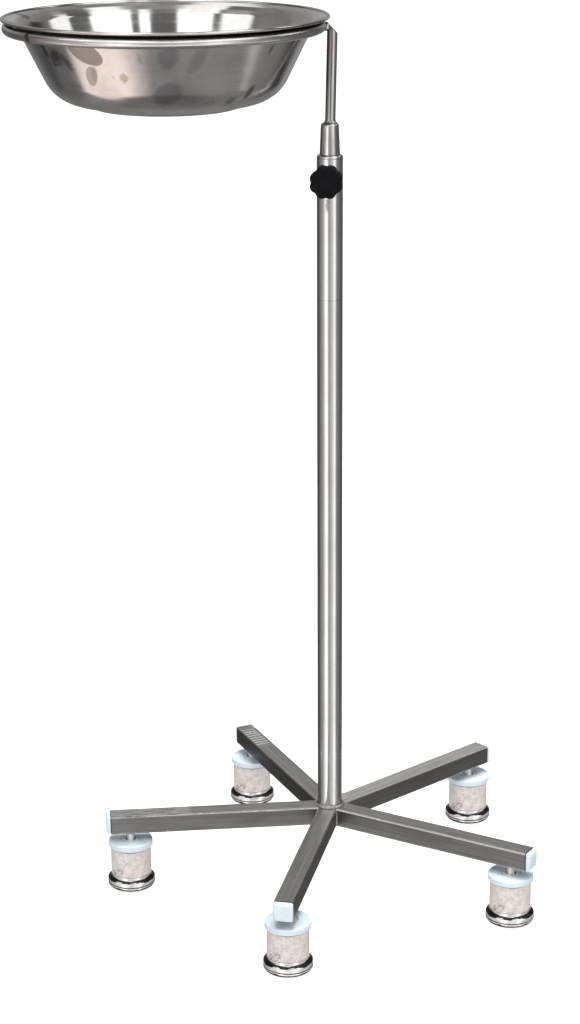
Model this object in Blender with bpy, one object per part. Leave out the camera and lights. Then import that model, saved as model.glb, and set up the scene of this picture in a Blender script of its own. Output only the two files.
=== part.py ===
"""Basin stand: a five-legged welded base, a telescoping column with a clamp knob, and a bar ring that carries a loose basin.

Lengths are in millimetres here and are turned into metres when a mesh is made. The part frame has +Z up and the floor at z = 0. The column's axis is at (AXIS_X, AXIS_Y), so that the frame's origin is under the middle of the object.
"""

import math

import bmesh
import bpy
from mathutils import Matrix, Vector

for old in list(bpy.data.objects):
    bpy.data.objects.remove(old, do_unlink=True)

MM = 0.001
GAP = 0.3  # left between pieces that touch

# Where the column's axis stands in the part frame
AXIS_X, AXIS_Y = 50.479, 8.777

# Base: square tube legs, mitred to each other around the column
LEG_COUNT = 5
LEG_FIRST_DEG = -28.2
LEG_SIDE = 20.0
LEG_WALL = 1.2
LEG_CORNER = 2.2
LEG_END = 229.0
LEG_BOTTOM = 59.5
LEG_TOP = LEG_BOTTOM + LEG_SIDE
CAP_SIDE = 19.8
CAP_PROUD = 5.0
CAP_EDGE = 3.0
CAP_PLUG = 16.9
CAP_PLUG_LENGTH = 12.0

# Levelling feet
FOOT_RADIUS = 208.8  # from the column's axis to each foot's axis
FOOT_SEGMENTS = 20
STUD_R = 4.0
STUD_PITCH = 1.25
STUD_BOTTOM, STUD_TOP = 33.0, 71.5
NUT_FLATS = 13.0
NUT_HEIGHT = 6.5
DISC_R = 22.9
DISC_BOTTOM, DISC_TOP = 44.1, 50.5
DISC_EDGE = 2.2
DISC_SPIGOT_R, DISC_SPIGOT_BOTTOM = 19.0, 31.0
DRUM_R, DRUM_WALL = 20.8, 1.5
DRUM_BOTTOM = 14.3
RING_BORE_R = 17.4
RING_TOP = 14.0
RING_SPIGOT_TOP = 20.0
RING_BEAD_R = 24.5
RING_BOTTOM = 1.5
PAD_R = 23.4
PAD_FLANGE = 1.2
PAD_TOP = 6.0

# Column and clamp
COLUMN_R = 12.7
COLUMN_WALL = 1.5
COLUMN_BOTTOM, COLUMN_TOP = 59.8, 755.5
GUIDE_LIP = 2.8
GUIDE_SPIGOT = 13.5
CLAMP_Z = 737.0
CLAMP_DEG = -95.5
BOSS_R, BOSS_FACE = 8.0, 20.5
SCREW_R = 4.0
KNOB_BACK = 22.6
KNOB_R, KNOB_LOBES, KNOB_LOBE = 15.2, 8, 0.85
KNOB_THICK = 16.0

# Telescoping holder
TUBE_R, TUBE_WALL = 9.525, 1.2
TUBE_BOTTOM, TUBE_TOP = 365.0, 758.7
SOCKET_FOOT_R, SOCKET_SHOULDER_R = 9.85, 8.6
SOCKET_BOTTOM, SOCKET_TOP = 759.0, 788.8
SOCKET_BORE_R = 5.7
ROD_R = 5.0
ROD_FOOT_X, ROD_FOOT_Z = -0.2, 765.2
ROD_LEAN = 0.0232  # sideways per unit of height
ROD_HIGH_Z = 883.3  # upper end of the slanted cut, on the ring's side
BAR_R = 5.0
RING_R = 148.35
RING_Z = 880.0
BOWL_X = -156.25  # from the column's axis to the ring's axis
SEAM_DEG = 220.0
SEAM_GAP = 0.8

# Basin
BOWL_SEGMENTS = 54
SHEET = 0.9
BASIN_X = -155.2  # the loose basin sits a little towards the rod
BASE_R, BASE_Z = 69.6, 804.8
BASE_STEP, BASE_STEP_RUN = 2.0, 2.4
BAND_RISE = 0.19  # of the shallow cone between the flat base and the corner
WALL_LEAN = 0.495  # sideways per unit of height
WALL_AT_Z845 = 122.0
CORNER_R = 40.0
FLARE_R = 7.0
BRIM_DEG = 21.3
RIM_R, RIM_Z = 154.0, 888.8
RIM_BEAD = 1.6


# ---------------------------------------------------------------- helpers
def colour(name, rgb, rough, metal):
    mat = bpy.data.materials.new(name)
    mat.use_nodes = True
    shader = mat.node_tree.nodes["Principled BSDF"]
    shader.inputs["Base Color"].default_value = (*rgb, 1.0)
    shader.inputs["Roughness"].default_value = rough
    shader.inputs["Metallic"].default_value = metal
    mat.diffuse_color = (*rgb, 1.0)
    return mat


def empty(name, parent=None, at=(0, 0, 0), turn=(0, 0, 0)):
    obj = bpy.data.objects.new(name, None)
    bpy.context.collection.objects.link(obj)
    obj.parent = parent
    obj.location = [c * MM for c in at]
    obj.rotation_euler = turn
    obj.empty_display_size = 0.02
    return obj


def piece(name, mesh, mat, parent, at=(0, 0, 0), turn=(0, 0, 0)):
    """Links one sub-part: its mesh, its material, and its place under its parent."""
    obj = bpy.data.objects.new(name, mesh)
    bpy.context.collection.objects.link(obj)
    obj.parent = parent
    obj.location = [c * MM for c in at]
    obj.rotation_euler = turn
    mesh.materials.clear()
    mesh.materials.append(mat)
    return obj


def finish(bm, name, sharp_deg=32):
    """Closes a bmesh into a mesh in metres, shaded smooth except at real edges."""
    bmesh.ops.remove_doubles(bm, verts=bm.verts, dist=4e-3)
    bmesh.ops.recalc_face_normals(bm, faces=bm.faces)
    bmesh.ops.scale(bm, vec=(MM, MM, MM), verts=bm.verts)
    mesh = bpy.data.meshes.new(name)
    bm.to_mesh(mesh)
    bm.free()
    mesh.shade_smooth()
    mesh.set_sharp_from_angle(angle=math.radians(sharp_deg))
    return mesh


def fillet(points, steps=3):
    """A polyline whose corners are rounded. Each point is (x, z), (x, z, radius) or (x, z, radius, steps)."""
    out = []
    for i, point in enumerate(points):
        radius = point[2] if len(point) > 2 else 0.0
        count = point[3] if len(point) > 3 else steps
        here = Vector(point[:2])
        if radius <= 0 or i in (0, len(points) - 1):
            out.append(here)
            continue
        back = (Vector(points[i - 1][:2]) - here).normalized()
        ahead = (Vector(points[i + 1][:2]) - here).normalized()
        half = math.acos(max(-1.0, min(1.0, back.dot(ahead)))) / 2
        centre = here + (back + ahead).normalized() * (radius / math.sin(half))
        start = here + back * (radius / math.tan(half)) - centre
        end = here + ahead * (radius / math.tan(half)) - centre
        a0 = math.atan2(start.y, start.x)
        sweep = (math.atan2(end.y, end.x) - a0 + math.pi) % (2 * math.pi) - math.pi
        for k in range(count + 1):
            a = a0 + sweep * k / count
            out.append(centre + Vector((math.cos(a), math.sin(a))) * radius)
    return out


def lathe(name, profile, segments, closed=False, sharp_deg=32, phase=0.0):
    """Turns a profile of (radius, z) points about Z. A closed profile makes a ring."""
    bm = bmesh.new()
    turned = Matrix.Rotation(phase, 3, "Z")
    verts = [bm.verts.new(turned @ Vector((p[0], 0, p[1]))) for p in profile]
    ends = verts[1:] + verts[:1] if closed else verts[1:]
    edges = [bm.edges.new(pair) for pair in zip(verts, ends)]
    bmesh.ops.spin(
        bm,
        geom=verts + edges,
        cent=(0, 0, 0),
        axis=(0, 0, 1),
        angle=2 * math.pi,
        steps=segments,
        use_merge=False,
    )
    return finish(bm, name, sharp_deg)


def loft(name, rings, sharp_deg=32, ends=True):
    """Joins rings of equal point counts with quads, and closes both ends with a face."""
    bm = bmesh.new()
    made = [[bm.verts.new(p) for p in ring] for ring in rings]
    for lower, upper in zip(made, made[1:]):
        for i in range(len(lower)):
            j = (i + 1) % len(lower)
            bm.faces.new((lower[i], lower[j], upper[j], upper[i]))
    if ends:
        bm.faces.new(made[0])
        bm.faces.new(made[-1])
    else:
        for i in range(len(made[0])):
            j = (i + 1) % len(made[0])
            bm.faces.new((made[-1][i], made[-1][j], made[0][j], made[0][i]))
    return finish(bm, name, sharp_deg)


def square_ring(side, corner, x, steps=2):
    """A square with round corners, in the YZ plane at x."""
    flat = side / 2 - corner
    ring = []
    for quarter, (sy, sz) in enumerate(((1, 1), (-1, 1), (-1, -1), (1, -1))):
        for k in range(steps + 1):
            a = math.radians(90 * quarter + 90 * k / steps)
            ring.append(
                Vector((x, sy * flat + corner * math.cos(a), sz * flat + corner * math.sin(a)))
            )
    return ring


def circle(radius, z, count, phase=0.0):
    return [
        Vector(
            (
                radius * math.cos(phase + 2 * math.pi * i / count),
                radius * math.sin(phase + 2 * math.pi * i / count),
                z,
            )
        )
        for i in range(count)
    ]


def rod_mesh(name, radius, bottom, top, segments, chamfer=0.6):
    """A plain round bar along Z with chamfered ends."""
    return lathe(
        name,
        [
            (0, top),
            (radius - chamfer, top),
            (radius, top - chamfer),
            (radius, bottom + chamfer),
            (radius - chamfer, bottom),
            (0, bottom),
        ],
        segments,
    )


def cutter(mesh, name):
    obj = bpy.data.objects.new(name, mesh)
    bpy.context.collection.objects.link(obj)
    obj.hide_render = True
    obj.display_type = "WIRE"
    return obj


def cut(mesh, name, steps):
    """The mesh after a chain of Booleans with (operation, mesh, matrix) steps."""
    body = cutter(mesh, name + "_body")
    tools = []
    for k, (operation, tool, matrix) in enumerate(steps):
        helper = cutter(tool, f"{name}_tool_{k}")
        helper.matrix_world = matrix
        modifier = body.modifiers.new(f"step_{k}", "BOOLEAN")
        modifier.operation = operation
        modifier.solver = "EXACT"
        modifier.object = helper
        tools.append(helper)
    bpy.context.view_layer.update()
    graph = bpy.context.evaluated_depsgraph_get()
    made = bpy.data.meshes.new_from_object(body.evaluated_get(graph))
    for obj in [body, *tools]:
        bpy.data.objects.remove(obj, do_unlink=True)
    bm = bmesh.new()
    bm.from_mesh(made)
    bmesh.ops.remove_doubles(bm, verts=bm.verts, dist=1e-7)
    bmesh.ops.triangulate(bm, faces=[f for f in bm.faces if len(f.verts) > 4])
    bmesh.ops.recalc_face_normals(bm, faces=bm.faces)
    bm.to_mesh(made)
    bm.free()
    made.name = name
    made.shade_smooth()
    made.set_sharp_from_angle(angle=math.radians(32))
    return made


def along(axis_deg, z):
    """A turn and a place that send a part's +Z out of the column, sideways at a height."""
    a = math.radians(axis_deg)
    turn = Matrix.Rotation(a, 4, "Z") @ Matrix.Rotation(math.pi / 2, 4, "Y")
    return Matrix.Translation((0, 0, z * MM)) @ turn


# ---------------------------------------------------------------- materials
satin_steel = colour("satin_steel", (0.42, 0.40, 0.38), 0.36, 1.0)
tube_steel = colour("tube_steel", (0.56, 0.55, 0.55), 0.22, 1.0)
weld_steel = colour("weld_steel", (0.48, 0.47, 0.46), 0.40, 1.0)
bar_steel = colour("bar_steel", (0.66, 0.65, 0.64), 0.16, 1.0)
basin_steel = colour("basin_steel", (0.60, 0.57, 0.55), 0.14, 1.0)
drum_metal = colour("drum_metal", (0.66, 0.61, 0.59), 0.52, 0.6)
chrome = colour("chrome", (0.80, 0.79, 0.79), 0.05, 1.0)
zinc = colour("zinc", (0.74, 0.75, 0.76), 0.30, 1.0)
pale_plastic = colour("pale_plastic", (0.74, 0.83, 0.90), 0.42, 0.0)
guide_plastic = colour("guide_plastic", (0.62, 0.62, 0.60), 0.45, 0.0)
black_plastic = colour("black_plastic", (0.012, 0.012, 0.014), 0.55, 0.0)
dark_rubber = colour("dark_rubber", (0.03, 0.03, 0.03), 0.75, 0.0)

stand = empty("stand", None, (AXIS_X, AXIS_Y, 0))
base = empty("base", stand)

# ---------------------------------------------------------------- legs
inside = LEG_SIDE - 2 * LEG_WALL
leg_blank = loft(
    "leg_blank",
    [
        square_ring(LEG_SIDE, LEG_CORNER, 4.0),
        square_ring(LEG_SIDE, LEG_CORNER, LEG_END),
        square_ring(inside, LEG_CORNER - LEG_WALL, LEG_END),
        square_ring(inside, LEG_CORNER - LEG_WALL, 4.0),
    ],
    ends=False,
)
# The inner end keeps its own sector between two mitre planes, and is coped to the column.
half_sector = math.pi / LEG_COUNT
apex = (GAP / 2) / math.sin(half_sector)
reach = 420.0
sector = loft(
    "leg_sector",
    [
        [
            Vector((apex, 0, z)),
            Vector((apex + reach * math.cos(half_sector), -reach * math.sin(half_sector), z)),
            Vector((apex + reach * math.cos(half_sector), reach * math.sin(half_sector), z)),
        ]
        for z in (-40.0, 40.0)
    ],
)
cope = rod_mesh("leg_cope", COLUMN_R + GAP, -40.0, 40.0, 48)
stud_way = rod_mesh("leg_stud_way", STUD_R + 0.7, -30.0, 0.0, 20)
leg_mesh = cut(
    leg_blank,
    "leg",
    [
        ("INTERSECT", sector, Matrix.Identity(4)),
        ("DIFFERENCE", cope, Matrix.Identity(4)),
        ("DIFFERENCE", stud_way, Matrix.Translation((FOOT_RADIUS * MM, 0, 0))),
    ],
)

# ---------------------------------------------------------------- leg end caps
cap_rings = [
    square_ring(CAP_PLUG - 0.8, 0.8, -CAP_PLUG_LENGTH),
    square_ring(CAP_PLUG, 1.2, -CAP_PLUG_LENGTH + 0.6),
    square_ring(CAP_PLUG, 1.2, GAP),
    square_ring(CAP_SIDE - 0.6, LEG_CORNER, GAP),
    square_ring(CAP_SIDE, LEG_CORNER, GAP + 0.4),
]
for k in range(4):
    a = math.radians(30 * k)
    shrink = CAP_EDGE * (1 - math.cos(a))
    cap_rings.append(
        square_ring(
            CAP_SIDE - 2 * shrink,
            LEG_CORNER + 0.4 * k,
            CAP_PROUD - CAP_EDGE + CAP_EDGE * math.sin(a),
        )
    )
cap_mesh = loft("leg_cap", cap_rings, sharp_deg=45)

# ---------------------------------------------------------------- foot pieces
NUT_SIDES = 12
hexagon = []
for i in range(NUT_SIDES):
    a = 2 * math.pi * i / NUT_SIDES
    nearest = (a + math.pi / 6) % (math.pi / 3) - math.pi / 6
    hexagon.append((a, NUT_FLATS / 2 / math.cos(nearest)))
nut_bottom = LEG_BOTTOM + LEG_WALL + GAP
nut_mesh = loft(
    "foot_nut",
    [
        circle(STUD_R + GAP, nut_bottom, NUT_SIDES),
        [Vector((r * math.cos(a), r * math.sin(a), nut_bottom)) for a, r in hexagon],
        [Vector((r * math.cos(a), r * math.sin(a), nut_bottom + NUT_HEIGHT)) for a, r in hexagon],
        circle(STUD_R + GAP, nut_bottom + NUT_HEIGHT, NUT_SIDES),
    ],
    ends=False,
)
stud_mesh = rod_mesh("foot_stud", STUD_R, STUD_BOTTOM, STUD_TOP, 12)
disc_mesh = lathe(
    "foot_disc",
    fillet(
        [
            (0, STUD_BOTTOM - GAP),
            (STUD_R + GAP, STUD_BOTTOM - GAP),
            (STUD_R + GAP, DISC_TOP),
            (DISC_R, DISC_TOP, DISC_EDGE, 2),
            (DISC_R, DISC_BOTTOM),
            (DISC_SPIGOT_R, DISC_BOTTOM),
            (DISC_SPIGOT_R, DISC_SPIGOT_BOTTOM),
            (0, DISC_SPIGOT_BOTTOM),
        ],
        steps=3,
    ),
    FOOT_SEGMENTS,
)
drum_mesh = lathe(
    "foot_drum",
    [
        (DRUM_R, DISC_BOTTOM - GAP),
        (DRUM_R, DRUM_BOTTOM),
        (DRUM_R - DRUM_WALL, DRUM_BOTTOM),
        (DRUM_R - DRUM_WALL, DISC_BOTTOM - GAP),
    ],
    FOOT_SEGMENTS,
    closed=True,
)
bell = fillet(
    [
        (DRUM_R - DRUM_WALL - GAP, RING_SPIGOT_TOP),
        (DRUM_R - DRUM_WALL - GAP, RING_TOP),
        (DRUM_R + 0.1, RING_TOP),
        (DRUM_R + 0.3, RING_TOP - 4.2, 4.0, 2),
        (RING_BEAD_R - 0.1, RING_TOP - 5.6, 1.6, 2),
        (RING_BEAD_R - 0.1, RING_BOTTOM + 2.7, 0.9, 1),
        (RING_BEAD_R - 1.2, RING_BOTTOM + 2.6),
        (RING_BEAD_R, RING_BOTTOM + 2.2, 0.5, 1),
        (RING_BEAD_R, RING_BOTTOM, 0.9, 1),
        (RING_BORE_R, RING_BOTTOM),
        (RING_BORE_R, RING_SPIGOT_TOP),
    ],
    steps=2,
)
bell_mesh = lathe("foot_ring", bell, FOOT_SEGMENTS, closed=True)
pad_mesh = lathe(
    "foot_pad",
    [
        (0, PAD_TOP),
        (RING_BORE_R - GAP, PAD_TOP),
        (RING_BORE_R - GAP, PAD_FLANGE),
        (PAD_R, PAD_FLANGE),
        (PAD_R - 0.4, 0),
        (0, 0),
    ],
    FOOT_SEGMENTS,
)

# ---------------------------------------------------------------- legs and feet, five times round the column
for k in range(LEG_COUNT):
    n = k + 1
    angle = math.radians(LEG_FIRST_DEG + 360.0 / LEG_COUNT * k)
    out = Vector((math.cos(angle), math.sin(angle), 0))
    middle = (LEG_BOTTOM + LEG_TOP) / 2
    piece(f"leg_{n}", leg_mesh, satin_steel, base, (0, 0, middle), (0, 0, angle))
    piece(
        f"leg_cap_{n}",
        cap_mesh,
        pale_plastic,
        base,
        (out.x * LEG_END, out.y * LEG_END, middle),
        (0, 0, angle),
    )
    place = (out.x * FOOT_RADIUS, out.y * FOOT_RADIUS, 0)
    piece(f"foot_nut_{n}", nut_mesh, zinc, base, place, (0, 0, angle))
    foot = empty(f"foot_{n}", stand, place, (0, 0, angle))
    piece(f"foot_stud_{n}", stud_mesh, zinc, foot)
    piece(f"foot_disc_{n}", disc_mesh, pale_plastic, foot)
    piece(f"foot_drum_{n}", drum_mesh, drum_metal, foot)
    piece(f"foot_ring_{n}", bell_mesh, chrome, foot)
    piece(f"foot_pad_{n}", pad_mesh, dark_rubber, foot)

# ---------------------------------------------------------------- column
column_blank = lathe(
    "column_blank",
    [
        (COLUMN_R, COLUMN_TOP),
        (COLUMN_R, COLUMN_BOTTOM),
        (COLUMN_R - COLUMN_WALL, COLUMN_BOTTOM),
        (COLUMN_R - COLUMN_WALL, COLUMN_TOP),
    ],
    32,
    closed=True,
)
screw_way = rod_mesh("screw_way", SCREW_R + GAP, 3.0, 40.0, 20)
column_mesh = cut(
    column_blank, "column", [("DIFFERENCE", screw_way, along(CLAMP_DEG, CLAMP_Z))]
)
piece("column", column_mesh, tube_steel, base)
piece(
    "column_weld",
    lathe(
        "column_weld",
        [
            (COLUMN_R + GAP, LEG_TOP + 3.2),
            (COLUMN_R + GAP + 0.9, LEG_TOP + 2.2),
            (COLUMN_R + GAP + 1.8, LEG_TOP + 1.2),
            (COLUMN_R + GAP + 2.6, LEG_TOP + GAP),
            (COLUMN_R + GAP, LEG_TOP + GAP),
        ],
        32,
        closed=True,
    ),
    weld_steel,
    base,
)
lip_bottom = COLUMN_TOP + GAP
piece(
    "column_guide",
    lathe(
        "column_guide",
        fillet(
            [
                (TUBE_R + 0.2, lip_bottom + GUIDE_LIP),
                (COLUMN_R, lip_bottom + GUIDE_LIP, 1.8),
                (COLUMN_R, lip_bottom),
                (COLUMN_R - COLUMN_WALL - 0.2, lip_bottom),
                (COLUMN_R - COLUMN_WALL - 0.2, lip_bottom - GUIDE_SPIGOT),
                (TUBE_R + 0.2, lip_bottom - GUIDE_SPIGOT),
            ]
        ),
        32,
        closed=True,
    ),
    tube_steel,
    base,
)

# ---------------------------------------------------------------- clamp: boss, screw and knob on one sideways axis
boss_blank = rod_mesh("boss_blank", BOSS_R, 4.0, BOSS_FACE, 32, chamfer=0.8)
column_round = rod_mesh("column_round", COLUMN_R + GAP, -60.0, 60.0, 48)
boss_bore = rod_mesh("boss_bore", SCREW_R + GAP, -5.0, 40.0, 20)
boss_mesh = cut(
    boss_blank,
    "clamp_boss",
    [
        (
            "DIFFERENCE",
            column_round,
            Matrix.Rotation(math.pi / 2, 4, "Y") @ Matrix.Rotation(math.radians(3.75), 4, "Z"),
        ),
        ("DIFFERENCE", boss_bore, Matrix.Identity(4)),
    ],
)
clamp = empty("clamp", stand, (0, 0, CLAMP_Z), along(CLAMP_DEG, 0).to_euler())
piece("clamp_boss", boss_mesh, tube_steel, clamp)
piece(
    "clamp_screw",
    rod_mesh("clamp_screw", SCREW_R, TUBE_R + GAP, KNOB_BACK + 9.0, 20, chamfer=0.8),
    zinc,
    clamp,
)
KNOB_SIDES = 48


def lobed(radius, wave, z):
    """One ring of the knob's outline: a circle with a wave of lobes on it."""
    ring = []
    for i in range(KNOB_SIDES):
        a = 2 * math.pi * i / KNOB_SIDES
        r = radius + wave * KNOB_LOBE * math.cos(KNOB_LOBES * a + math.pi)
        ring.append(Vector((r * math.cos(a), r * math.sin(a), z)))
    return ring


knob_front = KNOB_BACK + KNOB_THICK
knob_mesh = loft(
    "clamp_knob",
    [
        lobed(SCREW_R + GAP, 0, KNOB_BACK + 9.0 + GAP),
        lobed(SCREW_R + GAP, 0, KNOB_BACK - 1.6),
        lobed(8.6, 0, KNOB_BACK - 1.6),
        lobed(8.6, 0, KNOB_BACK),
        lobed(KNOB_R - 1.0, 1, KNOB_BACK),
        lobed(KNOB_R, 1, KNOB_BACK + 1.0),
        lobed(KNOB_R, 1, knob_front - 4.2),
        lobed(KNOB_R - 0.7, 0.9, knob_front - 2.2),
        lobed(KNOB_R - 2.6, 0.5, knob_front - 0.8),
        lobed(KNOB_R - 6.5, 0, knob_front),
    ],
    sharp_deg=40,
)
piece("clamp_knob", knob_mesh, black_plastic, clamp)

# ---------------------------------------------------------------- telescoping holder
slider = empty("slider", stand)
piece(
    "tube_guide",
    lathe(
        "tube_guide",
        [
            (0, TUBE_BOTTOM + 18.0),
            (TUBE_R - TUBE_WALL - 1.2, TUBE_BOTTOM + 18.0),
            (TUBE_R - TUBE_WALL - 0.2, TUBE_BOTTOM + 17.0),
            (TUBE_R - TUBE_WALL - 0.2, TUBE_BOTTOM - GAP),
            (COLUMN_R - COLUMN_WALL - 0.2, TUBE_BOTTOM - GAP),
            (COLUMN_R - COLUMN_WALL - 0.2, TUBE_BOTTOM - 15.0),
            (COLUMN_R - COLUMN_WALL - 1.2, TUBE_BOTTOM - 16.0),
            (0, TUBE_BOTTOM - 16.0),
        ],
        24,
    ),
    guide_plastic,
    slider,
)
holder = empty("holder", slider)
piece(
    "inner_tube",
    lathe(
        "inner_tube",
        [
            (TUBE_R, TUBE_TOP),
            (TUBE_R, TUBE_BOTTOM),
            (TUBE_R - TUBE_WALL, TUBE_BOTTOM),
            (TUBE_R - TUBE_WALL, TUBE_TOP),
        ],
        32,
        closed=True,
    ),
    tube_steel,
    holder,
)
piece(
    "tube_socket",
    lathe(
        "tube_socket",
        fillet(
            [
                (0, ROD_FOOT_Z - GAP),
                (SOCKET_BORE_R, ROD_FOOT_Z - GAP),
                (SOCKET_BORE_R, SOCKET_TOP),
                (SOCKET_SHOULDER_R, SOCKET_TOP, 1.6),
                (SOCKET_FOOT_R, SOCKET_BOTTOM),
                (TUBE_R - TUBE_WALL - 0.2, SOCKET_BOTTOM),
                (TUBE_R - TUBE_WALL - 0.2, SOCKET_BOTTOM - 19.0),
                (0, SOCKET_BOTTOM - 19.0),
            ]
        ),
        32,
    ),
    tube_steel,
    holder,
)

# The upright rod leans a little away from the basin, and its top is ground off on a slant.
lean = math.atan(ROD_LEAN)
rod_at = (ROD_FOOT_X, 0.0, ROD_FOOT_Z)
bm = bmesh.new()
bmesh.ops.create_cone(
    bm,
    cap_ends=True,
    segments=24,
    radius1=ROD_R,
    radius2=ROD_R,
    depth=140.0,
    matrix=Matrix.Translation((0, 0, 70.0)),
)
high = Vector((-ROD_R, 0, ROD_HIGH_Z - ROD_FOOT_Z))
trimmed = bmesh.ops.bisect_plane(
    bm,
    geom=bm.verts[:] + bm.edges[:] + bm.faces[:],
    plane_co=high,
    plane_no=Vector((math.sqrt(0.5), 0, math.sqrt(0.5))),
    clear_outer=True,
)
edge_loop = [g for g in trimmed["geom_cut"] if isinstance(g, bmesh.types.BMEdge)]
bmesh.ops.holes_fill(bm, edges=edge_loop, sides=0)
rod_solid = finish(bm, "upright_rod")
piece("upright_rod", rod_solid, bar_steel, holder, rod_at, (0, lean, 0))
weld_x = ROD_FOOT_X + (SOCKET_TOP + 1 - ROD_FOOT_Z) * ROD_LEAN
piece(
    "rod_weld",
    lathe(
        "rod_weld",
        [
            (ROD_R + GAP, SOCKET_TOP + 2.6),
            (ROD_R + GAP + 0.9, SOCKET_TOP + 2.0),
            (ROD_R + GAP + 1.6, SOCKET_TOP + GAP),
            (ROD_R + GAP, SOCKET_TOP + GAP),
        ],
        24,
        closed=True,
    ),
    weld_steel,
    holder,
    (weld_x, 0, 0),
)


def bar_ring(name, bar_radius, first_deg, last_deg, segments, sides):
    """A round bar bent about Z from one angle to another, with flat ends."""
    rings = []
    for i in range(segments + 1):
        a = math.radians(first_deg + (last_deg - first_deg) * i / segments)
        rings.append(
            [
                Vector(
                    (
                        (RING_R + bar_radius * math.cos(t)) * math.cos(a),
                        (RING_R + bar_radius * math.cos(t)) * math.sin(a),
                        bar_radius * math.sin(t),
                    )
                )
                for t in (2 * math.pi * (j + 0.5) / sides for j in range(sides))
            ]
        )
    return loft(name, rings, sharp_deg=50)


seam_half = math.degrees(SEAM_GAP / 2 / RING_R)
ring_mesh = bar_ring(
    "basin_ring", BAR_R, SEAM_DEG + seam_half, SEAM_DEG + 360 - seam_half, BOWL_SEGMENTS, 10
)
piece("basin_ring", ring_mesh, bar_steel, holder, (BOWL_X, 0, RING_Z))

# Weld between the ring and the rod: a bead that fills the corner around the point where they meet.
touch_x = BOWL_X + RING_R + BAR_R + 0.1
bm = bmesh.new()
bmesh.ops.create_uvsphere(bm, u_segments=20, v_segments=12, radius=1.0)
bmesh.ops.scale(bm, vec=(3.6, 5.2, 4.2), verts=bm.verts)
bead_blank = finish(bm, "bead_blank")
fat_ring = bar_ring("fat_ring", BAR_R + 0.2, -20.0, 20.0, 10, 24)
fat_rod = rod_mesh("fat_rod", ROD_R + 0.2, -60.0, 60.0, 32)
rod_x = ROD_FOOT_X + (RING_Z - ROD_FOOT_Z) * ROD_LEAN
bead_mesh = cut(
    bead_blank,
    "ring_weld",
    [
        ("DIFFERENCE", fat_ring, Matrix.Translation(((BOWL_X - touch_x) * MM, 0, 0.0007))),
        (
            "DIFFERENCE",
            fat_rod,
            Matrix.Translation(((rod_x - touch_x) * MM, 0, 0)) @ Matrix.Rotation(lean, 4, "Y"),
        ),
    ],
)
piece("ring_weld", bead_mesh, weld_steel, holder, (touch_x, 0, RING_Z - 0.7))

# ---------------------------------------------------------------- basin: one sheet, followed along its middle
wall = lambda z: WALL_AT_Z845 + (z - 845.0) * WALL_LEAN
bottom_r, bottom_z = BASE_R + BASE_STEP_RUN, BASE_Z + BASE_STEP
corner_z = (bottom_z + (wall(0) - bottom_r) * BAND_RISE) / (1 - WALL_LEAN * BAND_RISE)
brim_rise = math.tan(math.radians(BRIM_DEG))
turn_r = (wall(RIM_Z) - WALL_LEAN * RIM_R * brim_rise) / (1 - WALL_LEAN * brim_rise)
turn_z = RIM_Z - (RIM_R - turn_r) * brim_rise
sheet = fillet(
    [
        (0, BASE_Z),
        (BASE_R, BASE_Z, 1.2, 1),
        (bottom_r, bottom_z, 1.4, 1),
        (wall(corner_z), corner_z, CORNER_R),
        (turn_r, turn_z, FLARE_R, 3),
        (RIM_R, RIM_Z),
    ],
    steps=5,
)


def beside(line, distance):
    """A polyline at a distance to the left of another one."""
    out = []
    for i, p in enumerate(line):
        before = line[i] - line[i - 1] if i else line[1] - line[0]
        after = line[i + 1] - line[i] if i + 1 < len(line) else before
        left = Vector((-before.y, before.x)).normalized() + Vector((-after.y, after.x)).normalized()
        left.normalize()
        reach_out = max(0.5, left.dot(Vector((-before.y, before.x)).normalized()))
        out.append(p + left * (distance / reach_out))
    return out


upper, under = beside(sheet, SHEET / 2), beside(sheet, -SHEET / 2)
rim = Vector((RIM_R, RIM_Z))
heading = (sheet[-1] - sheet[-2]).normalized()
bead = []
opening = math.asin(SHEET / 2 / RIM_BEAD)
for k in range(8):
    a = math.pi - opening - (2 * math.pi - 2 * opening) * k / 7
    side = Vector((-heading.y, heading.x))
    bead.append(rim + (heading * math.cos(a) + side * math.sin(a)) * RIM_BEAD)
upper[0].x = under[0].x = 0.0
basin_mesh = lathe(
    "basin",
    upper[:-1] + bead + under[-2::-1],
    BOWL_SEGMENTS,
    sharp_deg=60,
    phase=math.radians(SEAM_DEG),
)
bowl = empty("bowl", holder, (BASIN_X, 0, 0))
piece("basin", basin_mesh, basin_steel, bowl)

bpy.context.view_layer.update()
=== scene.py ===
"""Looks for the basin stand: camera, floor, studio light, fine meshes and procedural materials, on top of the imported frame."""

import math

import bmesh
import bpy
from mathutils import Matrix, Vector


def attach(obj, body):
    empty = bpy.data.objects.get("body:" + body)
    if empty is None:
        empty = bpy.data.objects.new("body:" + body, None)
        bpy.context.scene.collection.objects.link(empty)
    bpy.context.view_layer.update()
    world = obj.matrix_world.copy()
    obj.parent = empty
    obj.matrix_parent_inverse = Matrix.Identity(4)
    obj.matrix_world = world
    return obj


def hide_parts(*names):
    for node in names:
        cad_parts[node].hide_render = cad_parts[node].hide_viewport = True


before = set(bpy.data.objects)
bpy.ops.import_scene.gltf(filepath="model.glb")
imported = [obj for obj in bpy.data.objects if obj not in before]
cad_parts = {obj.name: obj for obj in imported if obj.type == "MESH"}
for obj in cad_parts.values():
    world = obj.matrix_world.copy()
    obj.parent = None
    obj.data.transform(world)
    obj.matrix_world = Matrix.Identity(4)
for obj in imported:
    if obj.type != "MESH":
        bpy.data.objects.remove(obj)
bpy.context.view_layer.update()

MM = 0.001
TURN = 2 * math.pi

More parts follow.
